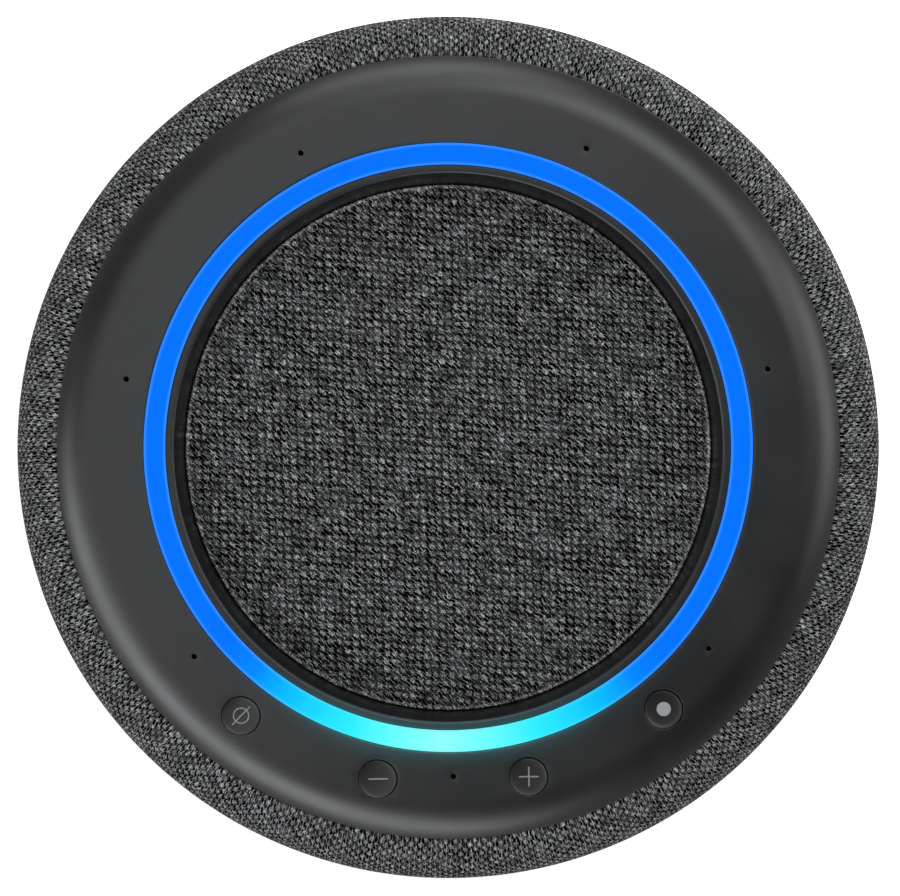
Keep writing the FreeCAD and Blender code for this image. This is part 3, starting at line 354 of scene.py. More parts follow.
def knit_material(name, gain=1.0, open_by=1.0, mottle=1.0, painted_edge_radius=None):
    """Melange knit. The weave map counts half stitches: one unit across and one unit along.

    Gain lightens the yarn, open_by widens the gaps between stitches, and mottle is how much the
    yarn's own shade varies. When an edge radius is given, in millimetres, the stitches around it
    are pulled tight over the edge, with fewer gaps and a painted highlight; past it the yarn is
    darkened by painted shade, standing in for the crevice where the cloth tucks away.
    """
    g = Graph(name)
    weave = g.add("ShaderNodeUVMap", uv_map="weave").outputs[0]

    def wandered(onto, scale, reach_across, reach_along):
        """The place moved a little by noise, so that the rows aren't perfectly straight."""
        noise = g.add(
            "ShaderNodeTexNoise",
            {"Vector": weave, "Scale": scale, "Detail": 1.0},
            noise_dimensions="2D",
        ).outputs["Color"]
        shift = g.add(
            "ShaderNodeVectorMath", {0: noise, 1: (0.5, 0.5, 0.5)}, operation="SUBTRACT"
        ).outputs[0]
        reach = (reach_across, reach_along, 0.0)
        return g.add(
            "ShaderNodeVectorMath", {0: shift, 1: reach, 2: onto}, operation="MULTIPLY_ADD"
        ).outputs[0]

    placed = wandered(wandered(weave, 0.23, 0.8, 0.8), 1.1, 0.5, 0.6)
    across, along, _ = g.split(placed)
    alpha = g.scaled(g.math("ADD", across, along), 0.5)
    beta = g.scaled(g.math("SUBTRACT", across, along), 0.5)

    def spot(alpha_k, beta_k, half_across, half_along, weakest):
        """One soft-edged oval in every stitch, some of them weaker than others."""
        a = g.scaled(alpha, 1.0, 0.5 - alpha_k)
        b = g.scaled(beta, 1.0, 0.5 - beta_k)
        random = g.add(
            "ShaderNodeTexWhiteNoise",
            {"Vector": g.join(g.math("FLOOR", a), g.math("FLOOR", b))},
            noise_dimensions="2D",
        ).outputs["Value"]
        da = g.scaled(g.math("FRACT", a), 1.0, -0.5)
        db = g.scaled(g.math("FRACT", b), 1.0, -0.5)
        dc = g.scaled(g.math("ADD", da, db), 1.0 / (open_by * half_across))
        dl = g.scaled(g.math("SUBTRACT", da, db), 1.0 / (open_by * half_along))
        reach = g.math("ADD", g.math("MULTIPLY", dc, dc), g.math("MULTIPLY", dl, dl))
        outer_edge, inner_edge = 1.25, 0.55
        filled = g.remap(reach, outer_edge, inner_edge, smooth=True)
        return g.math("MULTIPLY", filled, g.remap(random, 0.0, 0.7, weakest, 1.0))

    # The gaps between the stitches, one big and two small ones, painted near black for the shade
    # inside them, and a painted highlight on the top of each loop.
    big = spot(0.0, 0.0, 0.28, 0.56, 0.7)
    small_a = spot(0.49, 0.16, 0.22, 0.42, 0.7)
    small_b = spot(0.175, 0.42, 0.22, 0.42, 0.7)
    hollow = g.math("MAXIMUM", big, g.math("MAXIMUM", small_a, small_b))
    loop = spot(0.565, 0.565, 0.26, 0.4, 0.1)

    ridge_phase = -0.7 * math.pi
    ridges = g.scaled(g.math("SINE", g.scaled(across, 4 * math.pi, ridge_phase)), 0.5, 0.5)
    melange = g.noise(g.join(across, g.scaled(along, 0.75)), 0.9, 2.0, 0.6, "2D")
    patches = g.noise(placed, 0.3, 1.0, 0.5, "2D")
    fibres = g.noise(g.join(across, g.scaled(along, 0.6)), 4.0, 2.0, 0.75, "2D")
    tone = g.total(
        g.scaled(melange, 0.6 * mottle, 0.43 - 0.3 * mottle),
        g.scaled(patches, 0.4, -0.2),
        g.scaled(fibres, 2.0 * mottle, -0.03 - 1.0 * mottle),
        g.scaled(ridges, 0.16, -0.08),
        g.scaled(loop, 0.08, 0.01),
    )
    if painted_edge_radius is not None:
        x, y, _ = g.split(g.object_position())
        radius = g.from_axis(x, y)
        # Painted highlight where the stitches are pulled over the disc's edge, which also closes
        # their gaps, and painted shade past it for the crevice where the cloth tucks away.
        pulled = g.remap(radius, (painted_edge_radius - 0.5) * MM, painted_edge_radius * MM, smooth=True)
        shade_from, shade_to = (painted_edge_radius + 0.25) * MM, (painted_edge_radius + 0.55) * MM
        tucked = g.remap(radius, shade_from, shade_to, smooth=True)
        tone = g.total(tone, g.scaled(pulled, 0.2), g.scaled(tucked, -0.9))
        hollow = g.math("MULTIPLY", hollow, g.scaled(pulled, -0.5, 1.0))
    # Tone, and the yarn's lightness there.
    stops = ((0.0, 0.004), (0.3, 0.03), (0.5, 0.085), (0.72, 0.19), (1.0, 0.36))
    yarn = g.ramp(tone, [(position, grey(value * gain, -0.02)) for position, value in stops])
    # Painted shade: the gaps are mixed to near black.
    colour = g.mix(g.scaled(hollow, 0.995), yarn, grey(0.0003))
    height = g.total(g.scaled(ridges, 0.3), g.scaled(hollow, -1.0), g.scaled(fibres, 0.35))
    g.set(
        Base_Color=colour,
        Roughness=g.remap(fibres, 0.3, 0.7, 0.78, 0.94),
        Normal=g.bump(height, 0.22, 0.75),
        Specular_IOR_Level=0.012,
    )
    return g.material


def moulded(name, colour, roughness, grain=0.12, depth=0.012, specular=0.5, coarse=0.0):
    """Satin moulded plastic: spark-eroded grain, faint flow marks and uneven gloss."""
    g = Graph(name)
    place = g.object_position()
    fine = g.noise(place, 1.0 / (grain * MM), 2.0, 0.6)
    broad = g.noise(place, 55.0, 3.0, 0.55)
    tint = g.remap(broad, 0.3, 0.7, 0.9, 1.1)
    speck = g.remap(fine, 0.25, 0.75, 0.93, 1.07)
    strength = g.math("MULTIPLY", tint, speck)
    base = g.add(
        "ShaderNodeVectorMath", {0: tuple(colour[:3]), "Scale": strength}, operation="SCALE"
    ).outputs[0]
    height = fine
    if coarse:
        height = g.math("ADD", fine, g.scaled(broad, coarse))
    uneven = g.remap(broad, 0.3, 0.7, roughness - 0.025, roughness + 0.025)
    g.set(
        Base_Color=base,
        Roughness=g.math("ADD", uneven, g.scaled(fine, 0.05, -0.025)),
        Normal=g.bump(height, depth, 0.6),
        Specular_IOR_Level=specular,
    )
    return g


def glow_near_ring(g, strength):
    """Painted glow of the ring's light spill on plastic beside it, strongest at the cyan front."""
    x, y, z = g.split(g.object_position())
    middle = (RING_OUT + RING_IN) / 2 * MM
    half_width = (RING_OUT - RING_IN) / 2 * MM
    off_middle = g.math("ABSOLUTE", g.math("SUBTRACT", g.from_axis(x, y), middle))
    away = g.math("SUBTRACT", off_middle, half_width)
    fall_off = 1.5 * MM
    near = g.math("POWER", math.e, g.scaled(away, -1.0 / fall_off))
    dim_from, full_within = math.radians(46.0), math.radians(16.0)
    frontness = g.remap(angle_from_front(g, x, y), dim_from, full_within, 0.16, 1.0, smooth=True)
    colour = g.mix(frontness, linear(10, 60, 150), linear(60, 190, 200))
    on_top = g.remap(z, (TOP - 0.6) * MM, (TOP - 0.1) * MM)
    amount = g.math("MULTIPLY", g.math("MULTIPLY", near, frontness), g.scaled(on_top, strength))
    g.set(Emission_Color=colour, Emission_Strength=amount)


def angle_from_front(g, x, y):
    """The turn away from the middle of the cyan segment, in radians, from 0 to pi."""
    turn = g.math("ARCTAN2", y, x)
    offset = g.scaled(turn, 1.0, -CYAN_MIDDLE)
    return g.math("ABSOLUTE", g.math("WRAP", offset, math.pi, -math.pi))


def light_material():
    """Frosted light guide, lit blue, with the cyan segment at the front."""
    g = Graph("light_guide_lit")
    place = g.object_position()
    x, y, _ = g.split(place)
    share = g.scaled(angle_from_front(g, x, y), 1.0 / math.pi)
    # Degrees from the middle of the cyan segment, and the display colour there.
    stops = [
        (0.0, (145, 255, 255)), (10.0, (100, 255, 255)), (18.0, (45, 240, 255)),
        (30.0, (10, 200, 255)), (40.0, (2, 135, 255)), (48.0, (2, 115, 255)),
    ]
    lit = g.ramp(share, [(degrees / 180.0, linear(*colour)) for degrees, colour in stops])
    middle = (RING_OUT + RING_IN) / 2 * MM
    off_middle = g.math("ABSOLUTE", g.math("SUBTRACT", g.from_axis(x, y), middle))
    edge = g.remap(off_middle, 1.45 * MM, 2.0 * MM, 0.0, 0.16, smooth=True)
    cloud = g.noise(place, 260.0, 2.0, 0.5)
    lit = g.mix(edge, lit, linear(120, 215, 255))
    grain = g.noise(place, 6000.0, 1.0, 0.5)
    g.set(
        Base_Color=g.mix(cloud, (0.0004, 0.002, 0.006, 1.0), (0.0006, 0.003, 0.009, 1.0)),
        Roughness=g.remap(cloud, 0.3, 0.7, 0.38, 0.46),
        Normal=g.bump(grain, 0.008, 0.4),
        Emission_Color=lit,
        Emission_Strength=g.remap(cloud, 0.3, 0.7, 0.985, 1.015),
        Specular_IOR_Level=0.015,
    )
    return g.material


def metal(name, colour, roughness, grain, brushed=False, depth=0.01):
    """Metal with a fine grain, drawn out along z where it is brushed."""
    g = Graph(name)
    place = g.object_position()
    if brushed:
        x, y, z = g.split(place)
        place = g.join(x, y, g.scaled(z, 0.06))
    fine = g.noise(place, 1.0 / (grain * MM), 3.0, 0.6)
    broad = g.noise(place, 90.0, 2.0, 0.5)
    dull = [channel * 0.82 for channel in colour[:3]] + [1.0]
    uneven = g.remap(fine, 0.3, 0.7, roughness - 0.06, roughness + 0.06)
    g.set(
        Base_Color=g.mix(g.remap(broad, 0.3, 0.7), dull, colour),
        Metallic=1.0,
        Roughness=g.math("ADD", uneven, g.scaled(broad, 0.06)),
        Normal=g.bump(fine, depth, 0.5),
    )
    return g.material


def cloth_like(name, dark, light, pitch, depth, roughness):
    """A fine over-and-under weave in object space, for the small woven parts."""
    g = Graph(name)
    x, y, z = g.split(g.object_position())
    rate = 2 * math.pi / (pitch * MM)
    one = g.math("SINE", g.scaled(g.math("ADD", x, g.scaled(z, 0.7)), rate))
    two = g.math("SINE", g.scaled(g.math("ADD", y, g.scaled(z, 0.7)), rate))
    cross = g.scaled(g.math("MULTIPLY", one, two), 0.5, 0.5)
    hair = g.noise(g.object_position(), 2.0 / (pitch * MM), 2.0, 0.6)
    height = g.math("ADD", cross, g.scaled(hair, 0.5))
    g.set(
        Base_Color=g.mix(g.remap(height, 0.3, 1.1), dark, light),
        Roughness=g.remap(hair, 0.3, 0.7, roughness - 0.06, roughness + 0.06),
        Normal=g.bump(height, depth, 0.7),
    )
    return g.material


def board_material():
    """Green solder mask with copper runs and pads just under it."""
    g = Graph("circuit_board_mask")
    place = g.object_position()
    cells = g.add("ShaderNodeTexVoronoi", {"Vector": place, "Scale": 420.0}, distance="MANHATTAN")
    runs = g.remap(cells.outputs["Distance"], 0.32, 0.36)
    x, y, _ = g.split(place)
    lanes = g.math("SINE", g.scaled(g.math("ADD", x, y), 2 * math.pi / (1.3 * MM)))
    copper = g.math("MULTIPLY", runs, g.remap(lanes, 0.2, 0.4))
    haze = g.noise(place, 800.0, 2.0)
    mask = g.mix(haze, (0.004, 0.04, 0.018, 1), (0.006, 0.055, 0.024, 1))
    g.set(
        Base_Color=g.mix(copper, mask, (0.012, 0.11, 0.04, 1)),
        Roughness=g.remap(haze, 0.3, 0.7, 0.32, 0.42),
        Normal=g.bump(copper, 0.03, 0.6),
    )
    return g.material


def striped(name, base, line, pitch, axis, roughness, share=0.0):
    """Parallel conductors or turns of wire along one direction."""
    g = Graph(name)
    place = g.object_position()
    part = g.split(place)[axis]
    wave = g.math("SINE", g.scaled(part, 2 * math.pi / (pitch * MM)))
    haze = g.noise(place, 1500.0, 2.0)
    g.set(
        Base_Color=g.mix(g.remap(wave, share - 0.15, share + 0.15), base, line),
        Roughness=g.remap(haze, 0.3, 0.7, roughness - 0.05, roughness + 0.05),
        Normal=g.bump(wave, 0.04, 0.6),
    )
    return g.material


# Lit and shaded copies of one knit: the sleeve's higher gain paints it lighter than the disc down
# in its recess.
KNIT = knit_material("fabric_knit", gain=1.56, open_by=1.03, mottle=0.7)
DISC_KNIT = knit_material(
    "fabric_knit_disc", gain=1.05, open_by=1.03, mottle=1.0, painted_edge_radius=DISC_PAINTED_EDGE_R
)
DECK_GRAPH = moulded("deck_satin", grey(0.0022, -0.05), 0.32, grain=0.1, depth=0.006)
# Painted glow of the light ring's spill on the deck.
glow_near_ring(DECK_GRAPH, 0.12)
DECK = DECK_GRAPH.material
KEY = moulded("key_satin", grey(0.0022, -0.05), 0.32, grain=0.1, depth=0.006).material
LIP_GRAPH = moulded("lip_satin", grey(0.003, -0.03), 0.34, grain=0.1, depth=0.005, specular=0.36)
# Painted glow of the light ring's spill on the lip.
glow_near_ring(LIP_GRAPH, 0.12)
LIP = LIP_GRAPH.material
PAINT = moulded("icon_paint", grey(0.13, -0.02), 0.55, grain=0.06, depth=0.004).material
PAINT_BRIGHT = moulded("icon_paint_bright", grey(0.2, -0.02), 0.5, grain=0.06, depth=0.004).material
LIGHT = light_material()
MICROPHONE = moulded(
    "microphone_mesh", grey(0.0015), 0.85, grain=0.12, depth=0.02, specular=0.05
).material
DARK = moulded("dark_moulding", grey(0.012, -0.04), 0.5, grain=0.2, depth=0.02, coarse=0.6).material

SLOT_MATERIALS = {
    "fabric": KNIT,
    "deck_plastic": DECK,
    "key_plastic": KEY,
    "light_guide": LIGHT,
    "lip_plastic": LIP,
    "dark_plastic": DARK,
    "foot_rubber": moulded(
        "foot_rubber_matt", grey(0.014, 0.02), 0.78,
        grain=0.35, depth=0.05, specular=0.3, coarse=0.8,
    ).material,
    "surround_rubber": moulded(
        "surround_rubber_satin", grey(0.012), 0.6, grain=0.3, depth=0.02, specular=0.4
    ).material,
    "cone_paper": cloth_like(
        "cone_paper_fibre", grey(0.012, 0.02), grey(0.03, 0.02), 0.9, 0.03, 0.75
    ),
    "dome_silk": cloth_like("dome_silk_weave", grey(0.012), grey(0.04), 0.35, 0.02, 0.6),
    "spider_cloth": cloth_like(
        "spider_cloth_weave", (0.16, 0.1, 0.035, 1), (0.32, 0.22, 0.09, 1), 0.6, 0.05, 0.8
    ),
    "steel": metal("steel_zinc", (0.42, 0.42, 0.43, 1), 0.34, 0.3),
    "frame_steel": metal("frame_steel_painted", (0.05, 0.05, 0.052, 1), 0.5, 0.25),
    "magnet": moulded(
        "magnet_ferrite", grey(0.05, 0.02), 0.62, grain=0.5, depth=0.04, coarse=0.8
    ).material,
    "circuit_board": board_material(),
    "component_black": moulded(
        "component_epoxy", grey(0.013), 0.55, grain=0.15, depth=0.015
    ).material,
    "component_shield": metal(
        "component_shield_tin", (0.55, 0.55, 0.56, 1), 0.3, 0.2, brushed=True
    ),
    "winding": striped("winding_wire", (0.16, 0.05, 0.015, 1), (0.5, 0.2, 0.07, 1), 0.7, 2, 0.4),
    "heat_sink": metal("heat_sink_anodised", (0.28, 0.28, 0.29, 1), 0.42, 0.25, brushed=True),
    "brass_pins": metal("brass_pins_drawn", (0.62, 0.44, 0.17, 1), 0.26, 0.15, brushed=True),
    "ribbon": striped(
        "ribbon_flex", (0.5, 0.5, 0.48, 1), (0.2, 0.2, 0.22, 1), 1.0, 0, 0.45, share=0.3
    ),
    "led_lens": moulded("led_lens_clear", grey(0.7, 0.03), 0.3, grain=0.3, depth=0.01).material,
}
for node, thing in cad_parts.items():
    slot_name = thing.data.materials[0].name.split(".")[0]
    for holder in thing.material_slots:
        holder.link = "OBJECT"
        holder.material = MICROPHONE if node == "microphones" else SLOT_MATERIALS[slot_name]


# ---------------------------------------------------------------- knitted sleeve

SIDE = SHOULDER_Z - SLEEVE_BOTTOM
SLEEVE_LENGTH = SIDE + SHOULDER * SLEEVE_END
# The radii over which the cloth turns in at its hem, at its top and round the cut-outs.
HEM = 0.8
TOP_TUCK = 0.95
CUT_TUCK = 0.45
# The groove of the back seam, which fades out below the shoulder.
SEAM_DEPTH = 0.4
SEAM_HALF_WIDTH = 0.45
SEAM_FADE = 12.0


def sleeve_point(turn, run, depth):
    """A point at an angle, a run up the sleeve from its hem, and a depth under its face."""
    climb = max(run - SIDE, 0.0) / SHOULDER
    reach = SHOULDER - depth
    radius = SHOULDER_R + reach * math.cos(climb)
    z = SLEEVE_BOTTOM + min(run, SIDE) + reach * math.sin(climb)
    return radius * math.cos(turn), radius * math.sin(turn), z


def stadium_distance(x, z):
    """Distance outside the bass aperture's edge, as seen from the front."""
    side = max(abs(x) - (APERTURE["half"] - APERTURE["radius"]), 0.0)
    return math.hypot(side, z - APERTURE["middle"]) - APERTURE["radius"]


def port_distance(x, z):
    """Distance outside the port panel's opening, as seen from the back."""
    middle = (PORTS["low"] + PORTS["high"]) / 2
    return max(abs(x) - PORTS["half"], abs(z - middle) - (PORTS["high"] - PORTS["low"]) / 2)


def subdivided(outline, spacing):
    """A closed outline with points added along its longer sides."""
    fine = []
    for (x0, z0), (x1, z1) in zip(outline, outline[1:] + outline[:1]):
        parts = max(1, int(math.hypot(x1 - x0, z1 - z0) / spacing))
        fine += [(x0 + (x1 - x0) * i / parts, z0 + (z1 - z0) * i / parts) for i in range(parts)]
    return fine


def stadium_loop(growth, side, steps=14):
    """The aperture's outline in unrolled millimetres; side is "front" or "back"."""
    radius = APERTURE["radius"] + growth
    straight = APERTURE["half"] - APERTURE["radius"]
    middle = APERTURE["middle"]
    outline = []
    for centre, first in ((straight, -90.0), (-straight, 90.0)):
        for step in range(steps + 1):
            turn = math.radians(first + 180.0 * step / steps)
            outline.append((centre + radius * math.cos(turn), middle + radius * math.sin(turn)))
    return unroll(subdivided(outline, 2.2), side)


def unroll(outline, side):
    """From x and z as seen from the front or back to run-around and run-up in millimetres."""
    flat = []
    for x, z in outline:
        lean = math.asin(x / SLEEVE_RADIUS)
        turn = -math.pi / 2 + lean if side == "front" else math.pi / 2 + lean
        flat.append((turn * SLEEVE_RADIUS, z - SLEEVE_BOTTOM))
    return flat


def port_loop(growth):
    """The port panel's opening in unrolled millimetres."""
    half = PORTS["half"] + growth
    low, high = PORTS["low"] - growth, PORTS["high"] + growth
    corners = [(half, low), (half, high), (-half, high), (-half, low)]
    return unroll(subdivided(corners, 2.0), "back")


def cut_distance(around, run):
    """Distance from the nearest cut-out in the sleeve; negative inside one."""
    turn = around / SLEEVE_RADIUS
    x, y = SLEEVE_RADIUS * math.cos(turn), SLEEVE_RADIUS * math.sin(turn)
    z = run + SLEEVE_BOTTOM
    nearest = stadium_distance(x, z)
    if y > 0:
        nearest = min(nearest, port_distance(x, z))
    return nearest


def sleeve_depth(around, run, seam):
    """How far the cloth's face turns in at a cut, at the hem, at its tucked top and at the seam."""
    depth = round_over(cut_distance(around, run), CUT_TUCK)
    depth = max(depth, round_over(run, HEM), round_over(SLEEVE_LENGTH - run, TOP_TUCK))
    if seam is not None:
        fade = min(max((SIDE - run) / SEAM_FADE, 0.0), 1.0)
        depth = max(depth, SEAM_DEPTH * fade * math.exp(-((around - seam) / SEAM_HALF_WIDTH) ** 2))
    return depth


def make_gore(name, first_degrees):
    """A quarter of the sleeve. The four meet edge to edge; the back edges meet in the seam."""
    left = math.radians(first_degrees) * SLEEVE_RADIUS
    right = left + math.pi / 2 * SLEEVE_RADIUS
    seam = {0.0: right, -270.0: left}.get(first_degrees)
    columns = list(np.linspace(left, right, 61))
    if seam is not None:
        inward = -1.0 if seam == right else 1.0
        columns += [seam + inward * step for step in (0.2, 0.45, 0.75, 1.15, 1.6)]
    rows = list(np.linspace(0.0, SIDE, 64)) + list(np.linspace(SIDE, SLEEVE_LENGTH, 20)[1:])
    rows += [HEM * share for share in CLOTH_ROUND_SHARES]
    rows += [SLEEVE_LENGTH - TOP_TUCK * share for share in CLOTH_ROUND_SHARES]
    columns, rows = sorted(columns), sorted(rows)
    frame_loop = [(u, 0.0) for u in columns] + [(right, v) for v in rows[1:]]
    frame_loop += [(u, SLEEVE_LENGTH) for u in reversed(columns[:-1])]
    frame_loop += [(left, v) for v in reversed(rows[1:-1])]
    offsets = [0.0] + [CUT_TUCK * share for share in CLOTH_ROUND_SHARES]
    shift = 0.0 if first_degrees > -180.0 else -2 * math.pi * SLEEVE_RADIUS
    loops = [frame_loop]
    for side in ("front", "back"):
        for growth in offsets:
            loop = stadium_loop(growth, side)
            if side == "back" and shift:
                loop = [(u + shift, v) for u, v in loop]
            loops.append(loop)
    for growth in offsets:
        loops.append([(u + shift, v) for u, v in port_loop(growth)])
    loops = [
        loop for loop in loops
        if min(u for u, v in loop) < right and max(u for u, v in loop) > left
    ]
    clear = CUT_TUCK + 0.5
    extra = [(u, v) for u in columns[1:-1] for v in rows[1:-1] if cut_distance(u, v) > clear]

    def keep(u, v):
        return left < u < right and 0.0 < v < SLEEVE_LENGTH and cut_distance(u, v) > 0.0

    flat, faces = triangulate(loops, extra, keep)
    points, closed = slab(
        flat,
        faces,
        lambda u, v: sleeve_point(u / SLEEVE_RADIUS, v, sleeve_depth(u, v, seam)),
        lambda u, v: sleeve_point(u / SLEEVE_RADIUS, v, FABRIC),
    )
    weave = [(u / SLEEVE_RADIUS * WALES / (2 * math.pi), -COURSES * v) for u, v in flat]
    piece = make_mesh(name, points, closed, KNIT, uv=weave + weave, sharp=50.0)
    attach(piece, "housing")
    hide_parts("fabric_sleeve")


make_gore("sleeve_front_right", -90.0)
make_gore("sleeve_back_right", 0.0)
make_gore("sleeve_front_left", -180.0)
make_gore("sleeve_back_left", -270.0)


# ---------------------------------------------------------------- sunken fabric disc

def disc_weave(point):
    """The disc's knit runs across it at 45 degrees, slightly pulled out of square."""
    x, y, _ = point
    return 0.680 * x + 0.622 * y, 0.556 * x - 0.604 * y


disc_low = box_mm("top_fabric")[0].z
disc_profile = [(0.0, RECESS_FLOOR)]
disc_profile += [(radius, RECESS_FLOOR) for radius in np.linspace(4.0, 52.0, 13)]
disc_profile += rounded(
    [(52.5, RECESS_FLOOR, 0), (DISC_RADIUS, RECESS_FLOOR, 0.95), (DISC_RADIUS, disc_low, 0)],
    closed=False,
    steps=10,
)
disc_profile += [(radius, disc_low) for radius in (40.0, 20.0, 0.0)]
disc = lathe("top_fabric_cloth", disc_profile, DISC_KNIT, columns=240, uv=disc_weave)
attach(disc, "housing")
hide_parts("top_fabric")


# ---------------------------------------------------------------- deck

# The radii of the deck's rounded edges.
HOLE_EDGE = 0.12
MIC_EDGE = 0.1
RIM_EDGE = 0.14
INNER_EDGE = 0.2
# How much thinner the deck is at its rim.
RIM_THINNING = 0.17


def deck_height(radius):
    """The deck's face before its edges are rounded."""
    if radius <= SHOULDER_R:
        return TOP
    return SHOULDER_Z + math.sqrt(SHOULDER ** 2 - (radius - SHOULDER_R) ** 2)


def hole_gaps(x, y):
    """Distances from the key holes and the microphone holes, each with its edge radius."""
    for cx, cy in KEY_CENTRES.values():
        yield math.hypot(x - cx, y - cy) - KEY_HOLE, HOLE_EDGE
    for cx, cy in MIC_CENTRES:
        yield math.hypot(x - cx, y - cy) - MIC_RADIUS, MIC_EDGE


def deck_upper(x, y):
    """A point of the deck's upper face."""
    radius = math.hypot(x, y)
    rim_drop = round_over(DECK_RIM - radius, RIM_EDGE)
    inner_drop = round_over(radius - DECK_HOLE, INNER_EDGE)
    hole_drop = max(round_over(gap, edge) for gap, edge in hole_gaps(x, y))
    return x, y, deck_height(radius) - max(rim_drop, inner_drop, hole_drop)


def deck_lower(x, y):
    """A point of the deck's lower face."""
    radius = math.hypot(x, y)
    share = 1.0 - RIM_THINNING * max(radius - SHOULDER_R, 0.0) / (DECK_RIM - SHOULDER_R)
    return x, y, deck_height(radius) - DECK_THICK * share


def make_deck():
    """The ring-shaped cap with its holes for the keys and the microphones."""
    loops = []
    for share in ROUND_SHARES:
        loops.append(circle(0, 0, DECK_RIM - RIM_EDGE * share, 360))
        loops.append(circle(0, 0, DECK_HOLE + INNER_EDGE * share, 360))
        for cx, cy in KEY_CENTRES.values():
            loops.append(circle(cx, cy, KEY_HOLE + HOLE_EDGE * share, 72))
        for cx, cy in MIC_CENTRES:
            loops.append(circle(cx, cy, MIC_RADIUS + MIC_EDGE * share, 28))

    def clear_of_holes(x, y):
        return min(gap - edge for gap, edge in hole_gaps(x, y)) > 0.35

    flat_rings = list(np.arange(DECK_HOLE + 0.9, SHOULDER_R, 1.6))
    shoulder_rings = list(np.linspace(SHOULDER_R, DECK_RIM - 0.7, 12))
    extra = []
    for radius in flat_rings + shoulder_rings:
        extra += [p for p in circle(0, 0, radius, 240) if clear_of_holes(*p)]

    def keep(x, y):
        outside_holes = min(gap for gap, _ in hole_gaps(x, y)) > 0
        return DECK_HOLE < math.hypot(x, y) < DECK_RIM and outside_holes

    flat, faces = triangulate(loops, extra, keep)
    points, closed = slab(flat, faces, deck_upper, deck_lower)
    piece = make_mesh("top_deck_cap", points, closed, DECK, sharp=40.0)
    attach(piece, "housing")
    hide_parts("top_deck")


make_deck()


# ---------------------------------------------------------------- light ring and recess wall

RING_EDGE = 0.32
ring_low = box_mm("light_ring")[0].z
ring = lathe(
    "light_ring_guide",
    rounded([
        (RING_IN, ring_low, 0), (RING_OUT, ring_low, 0), (RING_OUT, TOP, RING_EDGE),
        ((RING_IN + RING_OUT) / 2, TOP + 0.02, 0), (RING_IN, TOP, RING_EDGE),
    ]),
    LIGHT,
    columns=360,
)
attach(ring, "housing")
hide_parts("light_ring")

wall_low = box_mm("recess_wall")[0].z
wall_foot_in = 51.5
wall_foot_top = RECESS_FLOOR - 3.5
wall = lathe(
    "recess_wall_bezel",
    rounded([
        (wall_foot_in, wall_low, 0), (RECESS_OUT, wall_low, 0), (RECESS_OUT, TOP, 0.15),
        (LIP_RADIUS + 0.15, TOP - 0.05, 0.8), (RECESS_FLOOR_R, RECESS_FLOOR, 0),
        (RECESS_FLOOR_R, wall_foot_top, 0), (wall_foot_in, wall_foot_top, 0),
    ]),
    LIP,
    columns=360,
)
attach(wall, "housing")
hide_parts("recess_wall")


# ---------------------------------------------------------------- keys and their icons

KEY_EDGE = 0.12
# The cap's face is a shallow dish, which curves up more steeply near its edge.
KEY_DISH = 0.13
KEY_RIM_RISE = 0.08
DISH_RINGS = (3.58, 3.47, 3.34, 3.2, 3.0, 2.82)
# The caps sit a little forward and to the left of the icons' centres.
KEY_SHIFT = (-0.05, -0.11)
# The paint lies this far under the face, and its body goes down this far under the deck's top.
ICON_DEPTH = 0.06
ICON_BASE = 0.45
# The skirt under the deck that keeps a key from falling out.
SKIRT_RADIUS = 4.8
SKIRT_TOP = TOP - DECK_THICK - 0.4


def turned(x, y, turn):
    """A point turned about the key's centre."""
    cosine, sine = math.cos(turn), math.sin(turn)
    return x * cosine - y * sine, x * sine + y * cosine


def bar(length, half_width, degrees):
    """A round-ended bar as an outline about the key's centre."""
    turn = math.radians(degrees)
    outline = []
    for end, first in ((length, -90.0), (-length, 90.0)):
        for step in range(9):
            lean = math.radians(first + 180.0 * step / 8)
            x = end - math.copysign(half_width, end) + half_width * math.cos(lean)
            y = half_width * math.sin(lean)
            outline.append(turned(x, y, turn))
    return outline


def inside_bar(x, y, length, half_width, degrees):
    u, v = turned(x, y, math.radians(-degrees))
    return math.hypot(max(abs(u) - (length - half_width), 0.0), v) < half_width


def inside_ring(x, y, inner, outer):
    return inner < math.hypot(x, y) < outer


# Each icon's outlines, and what lies inside them.
ICONS = {
    "mute": (
        [circle(0, 0, 1.68, 64), circle(0, 0, 1.4, 64), bar(2.65, 0.145, 45.0)],
        lambda x, y: inside_ring(x, y, 1.4, 1.68) or inside_bar(x, y, 2.65, 0.145, 45.0),
    ),
    "volume_down": ([bar(2.05, 0.17, 0.0)], lambda x, y: inside_bar(x, y, 2.05, 0.17, 0.0)),
    "volume_up": (
        [bar(2.05, 0.15, 0.0), bar(2.05, 0.15, 90.0)],
        lambda x, y: inside_bar(x, y, 2.05, 0.15, 0.0) or inside_bar(x, y, 2.05, 0.15, 90.0),
    ),
    "action": ([circle(0, 0, 1.46, 72)], lambda x, y: math.hypot(x, y) < 1.46),
}


def off_cap_centre(x, y):
    """Distance from the middle of a key's cap."""
    return math.hypot(x - KEY_SHIFT[0], y - KEY_SHIFT[1])


def key_face(x, y):
    """The height of a key's dished face."""
    share = min(off_cap_centre(x, y) / KEY_CAP, 1.0)
    return TOP - KEY_DISH * (1.0 - share ** 2) - KEY_RIM_RISE * (1.0 - share ** 8)


